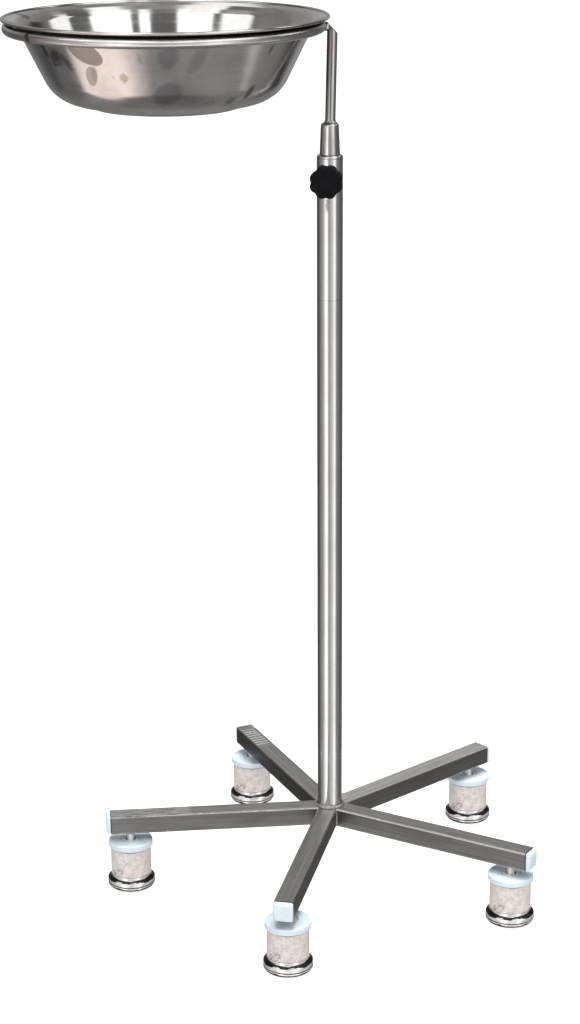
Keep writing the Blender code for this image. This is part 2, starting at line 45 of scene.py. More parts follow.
# Measures in millimetres, about the column's axis, as the CAD parts have them
AXIS_X, AXIS_Y = 50.479, 8.777
GAP = 0.3
LEG_COUNT, LEG_FIRST_DEG = 5, -28.2
LEG_SIDE, LEG_WALL, LEG_CORNER, LEG_END = 20.0, 1.2, 2.2, 229.0
LEG_BOTTOM, LEG_TOP = 59.5, 79.5
FOOT_RADIUS = 208.8
STUD_R, STUD_PITCH, STUD_BOTTOM, STUD_TOP = 4.0, 1.25, 33.0, 71.5
DISC_R, DISC_BOTTOM, DISC_TOP = 22.9, 44.1, 50.5
DRUM_R, DRUM_WALL, DRUM_BOTTOM = 20.8, 1.5, 14.3
COLUMN_R, COLUMN_WALL, COLUMN_BOTTOM, COLUMN_TOP = 12.7, 1.5, 59.8, 755.5
CLAMP_Z, CLAMP_DEG = 737.0, -95.5
TUBE_R, TUBE_WALL, TUBE_BOTTOM, TUBE_TOP = 9.525, 1.2, 365.0, 758.7
SOCKET_BOTTOM, SOCKET_TOP = 759.0, 788.8
ROD_R, ROD_FOOT_X, ROD_FOOT_Z, ROD_LEAN, ROD_HIGH_Z = 5.0, -0.2, 765.2, 0.0232, 883.3
BAR_R, RING_R, RING_Z, RING_X = 5.0, 148.35, 880.0, -156.25
BASIN_X = -155.2
SEAM_DEG, SEAM_GAP = 220.0, 0.8


# ---------------------------------------------------------------- meshes
def finish(bm, name, sharp_deg=35, unit=MM):
    """Closes a bmesh into a mesh in metres, shaded smooth except at real edges."""
    bmesh.ops.remove_doubles(bm, verts=bm.verts, dist=1e-5 / unit)
    bmesh.ops.recalc_face_normals(bm, faces=bm.faces)
    bmesh.ops.scale(bm, vec=(unit, unit, unit), verts=bm.verts)
    mesh = bpy.data.meshes.new(name)
    bm.to_mesh(mesh)
    bm.free()
    mesh.shade_smooth()
    mesh.set_sharp_from_angle(angle=math.radians(sharp_deg))
    return mesh


def fillet(points, steps=6):
    """A polyline with rounded corners. Each point is (x, z), (x, z, radius) or (x, z, radius, steps)."""
    out = []
    for i, point in enumerate(points):
        radius = point[2] if len(point) > 2 else 0.0
        count = point[3] if len(point) > 3 else steps
        here = Vector(point[:2])
        if radius <= 0 or i in (0, len(points) - 1):
            out.append(here)
            continue
        back = (Vector(points[i - 1][:2]) - here).normalized()
        ahead = (Vector(points[i + 1][:2]) - here).normalized()
        half = math.acos(max(-1.0, min(1.0, back.dot(ahead)))) / 2
        centre = here + (back + ahead).normalized() * (radius / math.sin(half))
        start = here + back * (radius / math.tan(half)) - centre
        end = here + ahead * (radius / math.tan(half)) - centre
        a0 = math.atan2(start.y, start.x)
        sweep = (math.atan2(end.y, end.x) - a0 + math.pi) % TURN - math.pi
        for k in range(count + 1):
            a = a0 + sweep * k / count
            out.append(centre + Vector((math.cos(a), math.sin(a))) * radius)
    return out


def closed_fillet(points, steps=6):
    """The same for a closed outline, whose first point is a corner too."""
    wrapped = [points[-1][:2], *points, points[0][:2]]
    return fillet(wrapped, steps)[1:-1]


def weave(rows, name, round_=True, ends=False, sharp_deg=35, loop=False):
    """Joins rows of points with quads. round_ closes each row, loop joins the last row to the first, ends caps the first and last row."""
    bm = bmesh.new()
    made = [[bm.verts.new(p) for p in row] for row in rows]
    pairs = list(zip(made, made[1:]))
    if loop:
        pairs.append((made[-1], made[0]))
    for low, high in pairs:
        count = len(low)
        for i in range(count if round_ else count - 1):
            j = (i + 1) % count
            bm.faces.new((low[i], low[j], high[j], high[i]))
    if ends:
        bm.faces.new(made[0])
        bm.faces.new(made[-1])
    return finish(bm, name, sharp_deg)


def lathe(name, profile, segments=96, closed=False, sharp_deg=35, wave=None):
    """Turns (radius, z) points about Z. wave(angle, index) moves a point by (radius, z)."""
    rows = []
    for i, p in enumerate(profile):
        row = []
        for k in range(segments):
            a = TURN * k / segments
            dr, dz = wave(a, i) if wave else (0.0, 0.0)
            r = max(0.0, p[0] + dr)
            row.append((r * math.cos(a), r * math.sin(a), p[1] + dz))
        rows.append(row)
    bm = bmesh.new()
    made = [[bm.verts.new(p) for p in row] for row in rows]
    pairs = list(zip(made, made[1:]))
    if closed:
        pairs.append((made[-1], made[0]))
    for low, high in pairs:
        for i in range(segments):
            j = (i + 1) % segments
            bm.faces.new((low[i], low[j], high[j], high[i]))
    bmesh.ops.remove_doubles(bm, verts=bm.verts, dist=1e-3)
    bmesh.ops.dissolve_degenerate(bm, edges=bm.edges, dist=1e-4)
    return finish(bm, name, sharp_deg)


def square_row(side, corner, x, steps=7):
    """A square with round corners, in the YZ plane at x."""
    flat = side / 2 - corner
    row = []
    for quarter, (sy, sz) in enumerate(((1, 1), (-1, 1), (-1, -1), (1, -1))):
        for k in range(steps + 1):
            a = math.radians(90 * quarter + 90 * k / steps)
            row.append((x, sy * flat + corner * math.cos(a), sz * flat + corner * math.sin(a)))
    return row


def bar(name, radius, bottom, top, segments=64, edge=0.5):
    """A round bar along Z with rounded ends."""
    return lathe(
        name,
        fillet([(0, top), (radius, top, edge), (radius, bottom, edge), (0, bottom)], 4),
        segments,
    )


def threaded(name, radius, pitch, bottom, top, sides=32, plain_top=0.0):
    """A screw: a helical thread between two chamfered ends, plain above plain_top if that is set."""
    depth = 0.6 * pitch
    rows, step = [], pitch / 8
    count = int(round((top - bottom) / step))
    for i in range(count + 1):
        z = bottom + (top - bottom) * i / count
        ease = min(1.0, (z - bottom) / 0.8, (top - z) / 0.8)
        row = []
        for k in range(sides):
            a = TURN * k / sides
            phase = (z / pitch - a / TURN) % 1.0
            groove = max(0.0, 1.0 - abs(phase - 0.5) / 0.42)
            if plain_top and z > plain_top:
                groove *= max(0.0, 1 - (z - plain_top) / pitch)
            r = radius - depth * groove
            r = min(r, radius - 0.9 * (1 - ease))
            row.append((r * math.cos(a), r * math.sin(a), z))
        rows.append(row)
    return weave(rows, name, ends=True, sharp_deg=50)


def cut(mesh, name, steps, sharp_deg=35):
    """The mesh after a chain of exact Booleans with (operation, mesh, matrix) steps."""
    body = bpy.data.objects.new(name + "_body", mesh)
    bpy.context.collection.objects.link(body)
    tools = []
    for k, (operation, tool, matrix) in enumerate(steps):
        helper = bpy.data.objects.new(f"{name}_tool_{k}", tool)
        bpy.context.collection.objects.link(helper)
        helper.matrix_world = matrix
        modifier = body.modifiers.new(f"step_{k}", "BOOLEAN")
        modifier.operation = operation
        modifier.solver = "EXACT"
        modifier.object = helper
        tools.append(helper)
    bpy.context.view_layer.update()
    graph = bpy.context.evaluated_depsgraph_get()
    made = bpy.data.meshes.new_from_object(body.evaluated_get(graph))
    for obj in [body, *tools]:
        bpy.data.objects.remove(obj, do_unlink=True)
    bm = bmesh.new()
    bm.from_mesh(made)
    bmesh.ops.remove_doubles(bm, verts=bm.verts, dist=1e-7)
    bmesh.ops.triangulate(bm, faces=[f for f in bm.faces if len(f.verts) > 4])
    bmesh.ops.recalc_face_normals(bm, faces=bm.faces)
    bm.to_mesh(made)
    bm.free()
    made.name = name
    made.shade_smooth()
    made.set_sharp_from_angle(angle=math.radians(sharp_deg))
    return made


def at_axis(x=0.0, y=0.0, z=0.0, turn=None):
    """A place relative to the column's axis."""
    place = Matrix.Translation(((AXIS_X + x) * MM, (AXIS_Y + y) * MM, z * MM))
    return place @ turn if turn is not None else place


def spin(deg):
    return Matrix.Rotation(math.radians(deg), 4, "Z")


def outward(axis_deg):
    """Sends a part's +Z sideways, away from the column."""
    return spin(axis_deg) @ Matrix.Rotation(math.pi / 2, 4, "Y")


def add(name, mesh, mat, body, matrix, node=None):
    obj = bpy.data.objects.new(name, mesh)
    bpy.context.collection.objects.link(obj)
    obj.matrix_world = matrix
    mesh.materials.clear()
    mesh.materials.append(mat)
    # Long flat faces keep their own normals beside the narrow rounded edges.
    even = obj.modifiers.new("even_normals", "WEIGHTED_NORMAL")
    even.mode = "FACE_AREA"
    even.weight = 50
    even.keep_sharp = True
    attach(obj, body)
    if node:
        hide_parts(node)
    return obj


# Dried marks on the basin: bearing in degrees, height, half width, half height, slant, softness, raggedness, outside or not, strength, colour, added roughness
BROWN, GREY, SOOT = (0.25, 0.215, 0.205), (0.24, 0.23, 0.225), (0.075, 0.068, 0.066)
WATER_MARKS = [
    (-118.4, 868.6, 18.0, 11.0, -30.0, 0.05, 0.10, True, 0.92, BROWN, 0.10),
    (-118.6, 846.4, 6.0, 10.6, -16.0, 0.08, 0.20, True, 0.78, (0.32, 0.275, 0.255), 0.10),
    (-117.0, 848.2, 3.6, 8.4, -16.0, 0.25, 0.30, True, 0.60, GREY, 0.0),
    (-103.4, 846.2, 4.2, 4.4, 20.0, 0.35, 2.2, True, 0.70, (0.37, 0.31, 0.22), 0.08),
    (-108.0, 846.8, 1.6, 2.0, 0.0, 0.5, 1.5, True, 0.40, (0.40, 0.34, 0.27), 0.0),
    (-95.5, 865.0, 2.0, 5.5, 10.0, 0.6, 1.6, True, 0.45, (0.34, 0.29, 0.28), 0.0),
    (-135.2, 862.0, 8.0, 8.0, 25.0, 0.60, 1.6, True, 0.82, SOOT, 0.06),
    (-141.5, 867.0, 3.4, 6.4, 0.0, 0.60, 1.8, True, 0.80, SOOT, 0.06),
    (-129.6, 857.0, 4.0, 7.4, 25.0, 0.60, 1.6, True, 0.74, SOOT, 0.06),
    (-138.2, 856.5, 2.8, 5.6, 0.0, 0.60, 1.8, True, 0.66, SOOT, 0.0),
    (-84.4, 865.5, 8.5, 12.0, -12.0, 0.35, 0.8, True, 0.50, (0.22, 0.215, 0.215), 0.06),
    (-73.0, 862.0, 5.2, 14.5, -24.0, 0.50, 1.2, True, 0.44, (0.27, 0.23, 0.22), 0.06),
    (-85.0, 830.5, 15.5, 11.0, 30.0, 0.28, 0.7, True, 0.52, (0.19, 0.185, 0.18), 0.06),
    (-74.0, 829.0, 15.0, 11.0, -10.0, 0.70, 0.8, True, 0.30, (0.24, 0.235, 0.23), 0.0),
    (-43.6, 828.5, 4.0, 7.6, -30.0, 0.45, 0.8, True, 0.72, (0.10, 0.095, 0.09), 0.06),
    (-53.0, 821.5, 6.0, 3.4, 20.0, 0.60, 0.9, True, 0.60, (0.12, 0.115, 0.11), 0.06),
    (-39.5, 868.0, 1.6, 4.8, -20.0, 0.50, 0.6, True, 0.70, (0.10, 0.09, 0.09), 0.0),
    (164.5, 885.8, 6.4, 3.0, 12.0, 0.30, 0.9, False, 0.80, (0.15, 0.14, 0.135), 0.10),
]


# ---------------------------------------------------------------- materials
class Finish:
    """One procedural material, built node by node."""

    def __init__(self, name, metallic, rough=0.5, specular=None):
        self.mat = bpy.data.materials.new(name)
        self.mat.use_nodes = True
        self.tree = self.mat.node_tree
        self.shader = self.tree.nodes["Principled BSDF"]
        self.shader.inputs["Metallic"].default_value = metallic
        self.shader.inputs["Roughness"].default_value = rough
        if specular is not None:
            self.shader.inputs["Specular IOR Level"].default_value = specular
        self.coords = self.tree.nodes.new("ShaderNodeTexCoord").outputs["Object"]

    def new(self, kind, **settings):
        node = self.tree.nodes.new(kind)
        for key, value in settings.items():
            setattr(node, key, value)
        return node

    def put(self, socket, value):
        if isinstance(value, bpy.types.NodeSocket):
            self.tree.links.new(value, socket)
        else:
            socket.default_value = value

    def math(self, operation, a, b=0.0, clamp=False):
        node = self.new("ShaderNodeMath", operation=operation, use_clamp=clamp)
        self.put(node.inputs[0], a)
        self.put(node.inputs[1], b)
        return node.outputs[0]

    def split(self):
        node = self.new("ShaderNodeSeparateXYZ")
        self.put(node.inputs[0], self.coords)
        return node.outputs

    def stretched(self, stretch, at=(0, 0, 0), turn=(0, 0, 0)):
        node = self.new("ShaderNodeMapping")
        self.put(node.inputs["Vector"], self.coords)
        node.inputs["Scale"].default_value = stretch
        node.inputs["Location"].default_value = at
        node.inputs["Rotation"].default_value = turn
        return node.outputs[0]

    def noise(self, scale, stretch=(1, 1, 1), detail=3.0, rough=0.55, at=(0, 0, 0), turn=(0, 0, 0), vector=None):
        node = self.new("ShaderNodeTexNoise", noise_dimensions="3D")
        self.put(node.inputs["Vector"], vector or self.stretched(stretch, at, turn))
        node.inputs["Scale"].default_value = scale
        node.inputs["Detail"].default_value = detail
        node.inputs["Roughness"].default_value = rough
        return node.outputs["Fac"]

    def cells(self, scale, stretch=(1, 1, 1), feature="F1", at=(0, 0, 0)):
        node = self.new("ShaderNodeTexVoronoi", feature=feature)
        self.put(node.inputs["Vector"], self.stretched(stretch, at))
        node.inputs["Scale"].default_value = scale
        return node.outputs["Distance"]

    def span(self, value, low, high, a=0.0, b=1.0, smooth=True):
        node = self.new("ShaderNodeMapRange", interpolation_type="SMOOTHSTEP" if smooth else "LINEAR")
        self.put(node.inputs["Value"], value)
        node.inputs["From Min"].default_value = low
        node.inputs["From Max"].default_value = high
        node.inputs["To Min"].default_value = a
        node.inputs["To Max"].default_value = b
        return node.outputs["Result"]

    def mix(self, factor, a, b, blend="MIX"):
        node = self.new("ShaderNodeMix", data_type="RGBA", blend_type=blend)
        self.put(node.inputs[0], factor)
        self.put(node.inputs[6], (*a, 1.0) if isinstance(a, tuple) else a)
        self.put(node.inputs[7], (*b, 1.0) if isinstance(b, tuple) else b)
        return node.outputs[2]

    def colour(self, value):
        self.put(self.shader.inputs["Base Color"], value)

    def rough(self, value):
        self.put(self.shader.inputs["Roughness"], value)

    def bump(self, height, strength, distance):
        node = self.new("ShaderNodeBump")
        node.inputs["Strength"].default_value = strength
        node.inputs["Distance"].default_value = distance
        self.put(node.inputs["Height"], height)
        self.put(self.shader.inputs["Normal"], node.outputs[0])


def drawn_tube(name, bright, dull, rough_low, rough_high, metallic=1.0, painted_side_shade=False):
    """Tube and bar stock, drawn and polished along its length (Z); a bar can be given painted shade up one side,
    stronger higher up, near its weld.
    """
    f = Finish(name, metallic)
    streak = f.noise(1.0, (900, 900, 7), 4.0, 0.6)
    cloud = f.noise(1.0, (70, 70, 26), 3.0, 0.6, at=(3, 1, 5))
    speck = f.noise(1.0, (600, 600, 240), 2.0, 0.5, at=(7, 2, 1))
    both = f.math("ADD", f.math("MULTIPLY", streak, 0.6), f.math("MULTIPLY", cloud, 0.4))
    base = f.mix(f.span(both, 0.32, 0.68), dull, bright)
    if painted_side_shade:
        # Painted shade: one side of the bar is darkened nearly to black, more strongly higher up.
        x, y, z = f.split()
        side = f.span(f.math("ADD", x, f.math("MULTIPLY", f.math("SUBTRACT", cloud, 0.5), 0.0012)), -0.0004, 0.0012, 1.0, 0.0)
        base = f.mix(f.math("MULTIPLY", side, f.span(z, 0.0, 0.072, 0.22, 0.78, smooth=False)), base, (0.075, 0.068, 0.066))
    f.colour(f.mix(f.span(speck, 0.66, 0.78, 0.0, 0.35), base, tuple(c * 0.55 for c in dull)))
    f.rough(f.span(both, 0.3, 0.7, rough_high, rough_low))
    f.bump(streak, 0.10, 0.0002)
    return f.mat


def column_tube():
    """The column's tube: as the other tubes, with a dark patch on its front below the clamp and a faint ring line lower
    down.
    """
    f = Finish("tube_steel_column", 1.0)
    x, y, z = f.split()
    streak = f.noise(1.0, (900, 900, 7), 4.0, 0.6)
    cloud = f.noise(1.0, (70, 70, 26), 3.0, 0.6, at=(3, 1, 5))
    speck = f.noise(1.0, (600, 600, 240), 2.0, 0.5, at=(7, 2, 1))
    both = f.math("ADD", f.math("MULTIPLY", streak, 0.6), f.math("MULTIPLY", cloud, 0.4))
    base = f.mix(f.span(both, 0.32, 0.68), (0.56, 0.535, 0.525), (0.69, 0.67, 0.665))
    base = f.mix(f.span(speck, 0.66, 0.78, 0.0, 0.35), base, (0.30, 0.285, 0.28))
    wander = f.math("MULTIPLY", f.math("SUBTRACT", f.noise(1.0, (1, 1, 150), 3.0, 0.6, at=(2, 9, 4)), 0.5), 0.006)
    # A dark, duller patch on the front of the tube, just below the clamp.
    near = f.math("MULTIPLY", f.span(f.math("ABSOLUTE", f.math("ADD", f.math("ADD", x, 0.0023), wander)), 0.0005, 0.0022, 1.0, 0.0), f.span(y, -0.004, -0.002, 1.0, 0.0))
    patch_below_clamp = f.math("MULTIPLY", f.math("MULTIPLY", f.span(z, 0.701, 0.710), f.span(z, 0.716, 0.719, 1.0, 0.0)), near)
    line = f.span(f.math("ABSOLUTE", f.math("SUBTRACT", z, 0.618)), 0.0003, 0.0008, 0.35, 0.0)
    base = f.mix(f.math("MULTIPLY", patch_below_clamp, 0.75), base, (0.16, 0.15, 0.145))
    f.colour(f.mix(line, base, (0.26, 0.25, 0.24)))
    f.rough(f.math("ADD", f.span(both, 0.3, 0.7, 0.13, 0.075), f.math("MULTIPLY", patch_below_clamp, 0.12)))
    f.bump(streak, 0.07, 0.0002)
    return f.mat


def ring_bar():
    """Bar bent into a ring and polished along its length, darkened by heat at the butt seam and at the weld."""
    f = Finish("bar_steel_ring", 1.0)
    x, y, z = f.split()
    radius = f.math("SQRT", f.math("ADD", f.math("MULTIPLY", x, x), f.math("MULTIPLY", y, y)))
    angle = f.math("ARCTAN2", y, x)
    polar = f.new("ShaderNodeCombineXYZ")
    f.put(polar.inputs[0], f.math("MULTIPLY", radius, 800.0))
    f.put(polar.inputs[1], f.math("MULTIPLY", angle, 2.2))
    f.put(polar.inputs[2], f.math("MULTIPLY", z, 800.0))
    streak = f.noise(1.0, detail=3.0, rough=0.6, vector=polar.outputs[0])
    cloud = f.noise(60.0, detail=3.0, rough=0.6)
    both = f.math("ADD", f.math("MULTIPLY", streak, 0.55), f.math("MULTIPLY", cloud, 0.45))
    base = f.mix(f.span(both, 0.34, 0.66), (0.58, 0.56, 0.55), (0.72, 0.70, 0.69))
    seam = f.math("ABSOLUTE", f.math("SUBTRACT", angle, math.radians(SEAM_DEG - 360)))
    ragged = f.math("MULTIPLY", f.math("SUBTRACT", f.noise(260.0, detail=3.0, rough=0.6, at=(1, 1, 2)), 0.5), 0.06)
    burn = f.span(f.math("ADD", seam, ragged), 0.012, 0.034, 0.92, 0.0)
    weld = f.span(f.math("ADD", f.math("ABSOLUTE", angle), ragged), 0.03, 0.09, 0.6, 0.0)
    base = f.mix(burn, base, (0.070, 0.052, 0.052))
    base = f.mix(weld, base, (0.24, 0.20, 0.17))
    # Painted shade along the ring's inner top, under the basin's brim
    under = f.math("MULTIPLY", f.span(z, 0.0040, 0.0047), f.span(radius, RING_R * MM + 0.0025, RING_R * MM + 0.0032, 1.0, 0.0))
    base = f.mix(f.math("MULTIPLY", under, 0.92), base, (0.022, 0.020, 0.019))
    f.colour(base)
    f.rough(f.math("ADD", f.span(both, 0.3, 0.7, 0.34, 0.25), f.math("MULTIPLY", f.math("MAXIMUM", burn, under), 0.30)))
    f.bump(streak, 0.06, 0.0002)
    return f.mat


def satin_leg(name, scratched=0.0, hatched=0.0, painted_top_light=1.0):
    """Square tube with a satin finish ground along its length (X), and handling marks near the free end; its top face
    is painted lighter than its sides.
    """
    f = Finish(name, 1.0)
    x, y, z = f.split()
    grain = f.noise(1.0, (9, 700, 700), 4.0, 0.65)
    coarse = f.noise(1.0, (5, 150, 150), 3.0, 0.6, at=(2, 0, 4))
    cloud = f.noise(1.0, (22, 60, 60), 3.0, 0.6, at=(5, 5, 5))
    mixed = f.math("ADD", f.math("MULTIPLY", grain, 0.45), f.math("ADD", f.math("MULTIPLY", coarse, 0.3), f.math("MULTIPLY", cloud, 0.25)))
    # Painted light: the top face is given a lighter colour than the sides, scaled up or down for the lighter and darker
    # painted copies.
    top = f.span(z, 0.0080, 0.0098)
    base = f.mix(
        top,
        f.mix(f.span(mixed, 0.34, 0.66), (0.150, 0.146, 0.140), (0.250, 0.244, 0.237)),
        f.mix(f.span(mixed, 0.34, 0.66), (0.300 * painted_top_light, 0.288 * painted_top_light, 0.274 * painted_top_light), (0.520 * painted_top_light, 0.507 * painted_top_light, 0.490 * painted_top_light)),
    )
    rough = f.span(mixed, 0.3, 0.7, 0.47, 0.34)
    # The corners are painted brighter than the flats, a painted highlight along the rounded edges; the pale specks on
    # them are wear.
    corner = f.math(
        "MULTIPLY",
        f.span(f.math("SUBTRACT", 0.0100, f.math("ABSOLUTE", y)), 0.0003, 0.0024, 1.0, 0.0),
        f.span(f.math("SUBTRACT", 0.0100, f.math("ABSOLUTE", z)), 0.0003, 0.0024, 1.0, 0.0),
    )
    base = f.mix(f.math("MULTIPLY", corner, 0.75), base, (0.66, 0.65, 0.64))
    worn = f.math("MULTIPLY", corner, f.span(f.noise(1.0, (150, 420, 420), 3.0, 0.6, at=(6, 2, 8)), 0.58, 0.66))
    base = f.mix(f.math("MULTIPLY", worn, 0.8), base, (0.90, 0.89, 0.88))
    rough = f.math("SUBTRACT", rough, f.math("MULTIPLY", corner, 0.16))
    height = grain
    if scratched:
        # Rubbed patch near the end, with long scratches across it in two directions
        patch = f.math("MULTIPLY", top, f.span(x, 0.142, 0.150))
        line_a = f.noise(1.0, (50, 620, 1), 2.0, 0.5, turn=(0, 0, 0.16))
        line_b = f.noise(1.0, (60, 700, 1), 2.0, 0.5, at=(4, 4, 4), turn=(0, 0, -0.34))
        lines = f.math("MAXIMUM", f.span(line_a, 0.57, 0.63), f.span(line_b, 0.58, 0.64))
        pale = f.mix(lines, (0.66, 0.65, 0.64), (0.22, 0.21, 0.20))
        base = f.mix(f.math("MULTIPLY", patch, scratched), base, pale)
    if hatched:
        # Short cross marks left by a grinder on the top face near the end
        wave = f.new("ShaderNodeTexWave", wave_type="BANDS", bands_direction="X", wave_profile="SIN")
        f.put(wave.inputs["Vector"], f.stretched((1, 0.10, 1), turn=(0, 0, 0.10)))
        wave.inputs["Scale"].default_value = 52.0
        wave.inputs["Distortion"].default_value = 1.6
        wave.inputs["Detail"].default_value = 1.0
        band = f.math("MULTIPLY", f.span(x, 0.166, 0.170), f.span(x, 0.212, 0.220, 1.0, 0.0))
        where = f.math("MULTIPLY", f.math("MULTIPLY", top, band), f.span(y, -0.0070, -0.0045))
        mark = f.math("MULTIPLY", f.span(wave.outputs["Fac"], 0.50, 0.72), where)
        slash = f.span(f.noise(1.0, (90, 300, 1), 1.0, 0.5, at=(3, 3, 3), turn=(0, 0, 0.8)), 0.60, 0.66)
        slash = f.math("MULTIPLY", f.math("MULTIPLY", slash, top), f.span(x, 0.200, 0.206))
        base = f.mix(f.math("MULTIPLY", f.math("MAXIMUM", mark, slash), hatched), base, (1.0, 0.99, 0.98))
    # Painted shade: the last millimetre of the tube before its end cap is darkened nearly to black.
    f.colour(f.mix(f.span(x, 0.2281, 0.2287, 0.0, 0.92), base, (0.020, 0.020, 0.024)))
    f.rough(rough)
    f.bump(height, 0.12, 0.0002)
    return f.mat


def basin_sheet():
    """Spun sheet steel: fine turning lines round the axis, cloudy handling marks, and dried water marks on the outside."""
    f = Finish("basin_steel", 1.0)
    x, y, z = f.split()
    radius = f.math("SQRT", f.math("ADD", f.math("MULTIPLY", x, x), f.math("MULTIPLY", y, y)))
    angle = f.math("ARCTAN2", y, x)
    polar = f.new("ShaderNodeCombineXYZ")
    f.put(polar.inputs[0], f.math("MULTIPLY", radius, 900.0))
    f.put(polar.inputs[1], f.math("MULTIPLY", angle, 1.4))
    f.put(polar.inputs[2], f.math("MULTIPLY", z, 900.0))
    turning = f.noise(1.0, detail=3.0, rough=0.6, vector=polar.outputs[0])
    cloud = f.noise(24.0, detail=4.0, rough=0.62)
    smudge = f.noise(1.0, (46, 46, 34), 3.0, 0.55, at=(1, 2, 3))
    crumb = f.math("SUBTRACT", f.noise(190.0, detail=4.0, rough=0.65, at=(4, 1, 6)), 0.5)
    base = f.mix(f.span(f.math("ADD", f.math("MULTIPLY", turning, 0.22), f.math("MULTIPLY", cloud, 0.78)), 0.36, 0.64), (0.53, 0.515, 0.505), (0.66, 0.645, 0.635))
    rough = f.span(f.math("ADD", f.math("MULTIPLY", turning, 0.4), f.math("MULTIPLY", smudge, 0.6)), 0.35, 0.65, 0.06, 0.13)

    # The outside is where the surface faces away from the basin's axis.
    facing = f.new("ShaderNodeSeparateXYZ")
    f.put(facing.inputs[0], f.coords.node.outputs["Normal"])
    outside = f.span(f.math("ADD", f.math("MULTIPLY", facing.outputs[0], x), f.math("MULTIPLY", facing.outputs[1], y)), 0.0, 0.01)
    inside_ = f.math("SUBTRACT", 1.0, outside)

    def mark(deg, height, wide, high, slant, soft, ragged):
        """An oval patch on the wall: wide and high are half sizes in millimetres, slant turns it, ragged breaks up its edge."""
        along = f.math("MULTIPLY", f.math("SUBTRACT", angle, math.radians(deg)), 126.0)
        up = f.math("MULTIPLY", f.math("SUBTRACT", z, height * MM), 1115.0)
        c, s = math.cos(math.radians(slant)), math.sin(math.radians(slant))
        a = f.math("DIVIDE", f.math("ADD", f.math("MULTIPLY", along, c), f.math("MULTIPLY", up, s)), wide)
        b = f.math("DIVIDE", f.math("SUBTRACT", f.math("MULTIPLY", up, c), f.math("MULTIPLY", along, s)), high)
        far = f.math("SQRT", f.math("ADD", f.math("MULTIPLY", a, a), f.math("MULTIPLY", b, b)))
        far = f.math("ADD", far, f.math("MULTIPLY", crumb, ragged))
        return f.span(far, 1.0 - soft, 1.0 + soft, 1.0, 0.0)

    for deg, height, wide, high, slant, soft, ragged, side, strength, colour, dull in WATER_MARKS:
        patch = f.math("MULTIPLY", f.math("MULTIPLY", mark(deg, height, wide, high, slant, soft, ragged), outside if side else inside_), strength)
        base = f.mix(patch, base, colour)
        if dull:
            rough = f.math("ADD", rough, f.math("MULTIPLY", patch, dull))
    # Painted shade on the underside of the brim, where the ring holds the basin
    brim_underside_shade = f.math("MULTIPLY", f.math("MULTIPLY", f.span(z, 0.8815, 0.8830), f.span(radius, 0.1520, 0.1542, 1.0, 0.0)), f.span(facing.outputs[2], -0.10, 0.10, 1.0, 0.0))
    rough = f.math("ADD", rough, f.math("ADD", f.math("MULTIPLY", outside, 0.04), f.span(z, 0.818, 0.832, 0.17, 0.0)))
    base = f.mix(f.math("MULTIPLY", brim_underside_shade, 0.94), base, (0.020, 0.018, 0.017))
    rough = f.math("ADD", rough, f.math("MULTIPLY", brim_underside_shade, 0.45))
    f.colour(base)
    f.rough(rough)
    f.bump(f.math("ADD", f.math("MULTIPLY", turning, 0.12), f.math("MULTIPLY", cloud, 0.88)), 0.05, 0.0006)
    return f.mat


def weld_bead():
    f = Finish("weld_steel", 1.0)
    ripple = f.noise(420.0, detail=3.0, rough=0.6)
    tint = f.noise(110.0, detail=2.0, rough=0.5, at=(1, 4, 2))
    base = f.mix(f.span(ripple, 0.35, 0.65), (0.36, 0.35, 0.34), (0.66, 0.65, 0.64))
    f.colour(f.mix(f.span(tint, 0.52, 0.70, 0.0, 0.5), base, (0.42, 0.33, 0.24)))
    f.rough(f.span(ripple, 0.3, 0.7, 0.45, 0.24))
    f.bump(ripple, 0.35, 0.0006)
    return f.mat


def moulded(name, low, high, rough_low, rough_high, grain, bump, specular=None):
    """Moulded plastic or rubber: a faint colour drift and a fine moulded grain."""
    f = Finish(name, 0.0, specular=specular)
    drift = f.noise(90.0, detail=3.0, rough=0.6)
    fine = f.noise(grain, detail=3.0, rough=0.6, at=(2, 3, 4))
    mixed = f.math("ADD", f.math("MULTIPLY", drift, 0.6), f.math("MULTIPLY", fine, 0.4))
    f.colour(f.mix(f.span(mixed, 0.35, 0.65), low, high))
    f.rough(f.span(mixed, 0.3, 0.7, rough_high, rough_low))
    f.bump(fine, bump, 0.0003)
    return f.mat


def disc_plastic():
    """The foot disc's plastic: as the end caps, with painted shade inside the stud's hole, in the ring groove round it
    and along its bottom edge.
    """
    f = Finish("pale_plastic_disc", 0.0)
    x, y, z = f.split()
    radius = f.math("SQRT", f.math("ADD", f.math("MULTIPLY", x, x), f.math("MULTIPLY", y, y)))
    drift = f.noise(90.0, detail=3.0, rough=0.6)
    fine = f.noise(900.0, detail=3.0, rough=0.6, at=(2, 3, 4))
    mixed = f.math("ADD", f.math("MULTIPLY", drift, 0.6), f.math("MULTIPLY", fine, 0.4))
    base = f.mix(f.span(mixed, 0.35, 0.65), (0.485, 0.56, 0.612), (0.56, 0.63, 0.678))
    # Painted shade: near black in the stud's hole, darker in the top groove and along the bottom edge over the drum.
    hole = f.span(radius, 0.0052, 0.0058, 1.0, 0.0)
    ring = f.math("MULTIPLY", f.span(f.math("ABSOLUTE", f.math("SUBTRACT", radius, 0.0098)), 0.0004, 0.0007, 0.25, 0.0), f.span(z, 0.0480, 0.0495))
    foot = f.span(z, 0.0441, 0.0448, 0.45, 0.0)
    f.colour(f.mix(f.math("MAXIMUM", f.math("MULTIPLY", hole, 0.95), f.math("MAXIMUM", ring, foot)), base, (0.018, 0.020, 0.026)))
    f.rough(f.span(mixed, 0.3, 0.7, 0.46, 0.34))
    f.bump(fine, 0.05, 0.0003)
    return f.mat


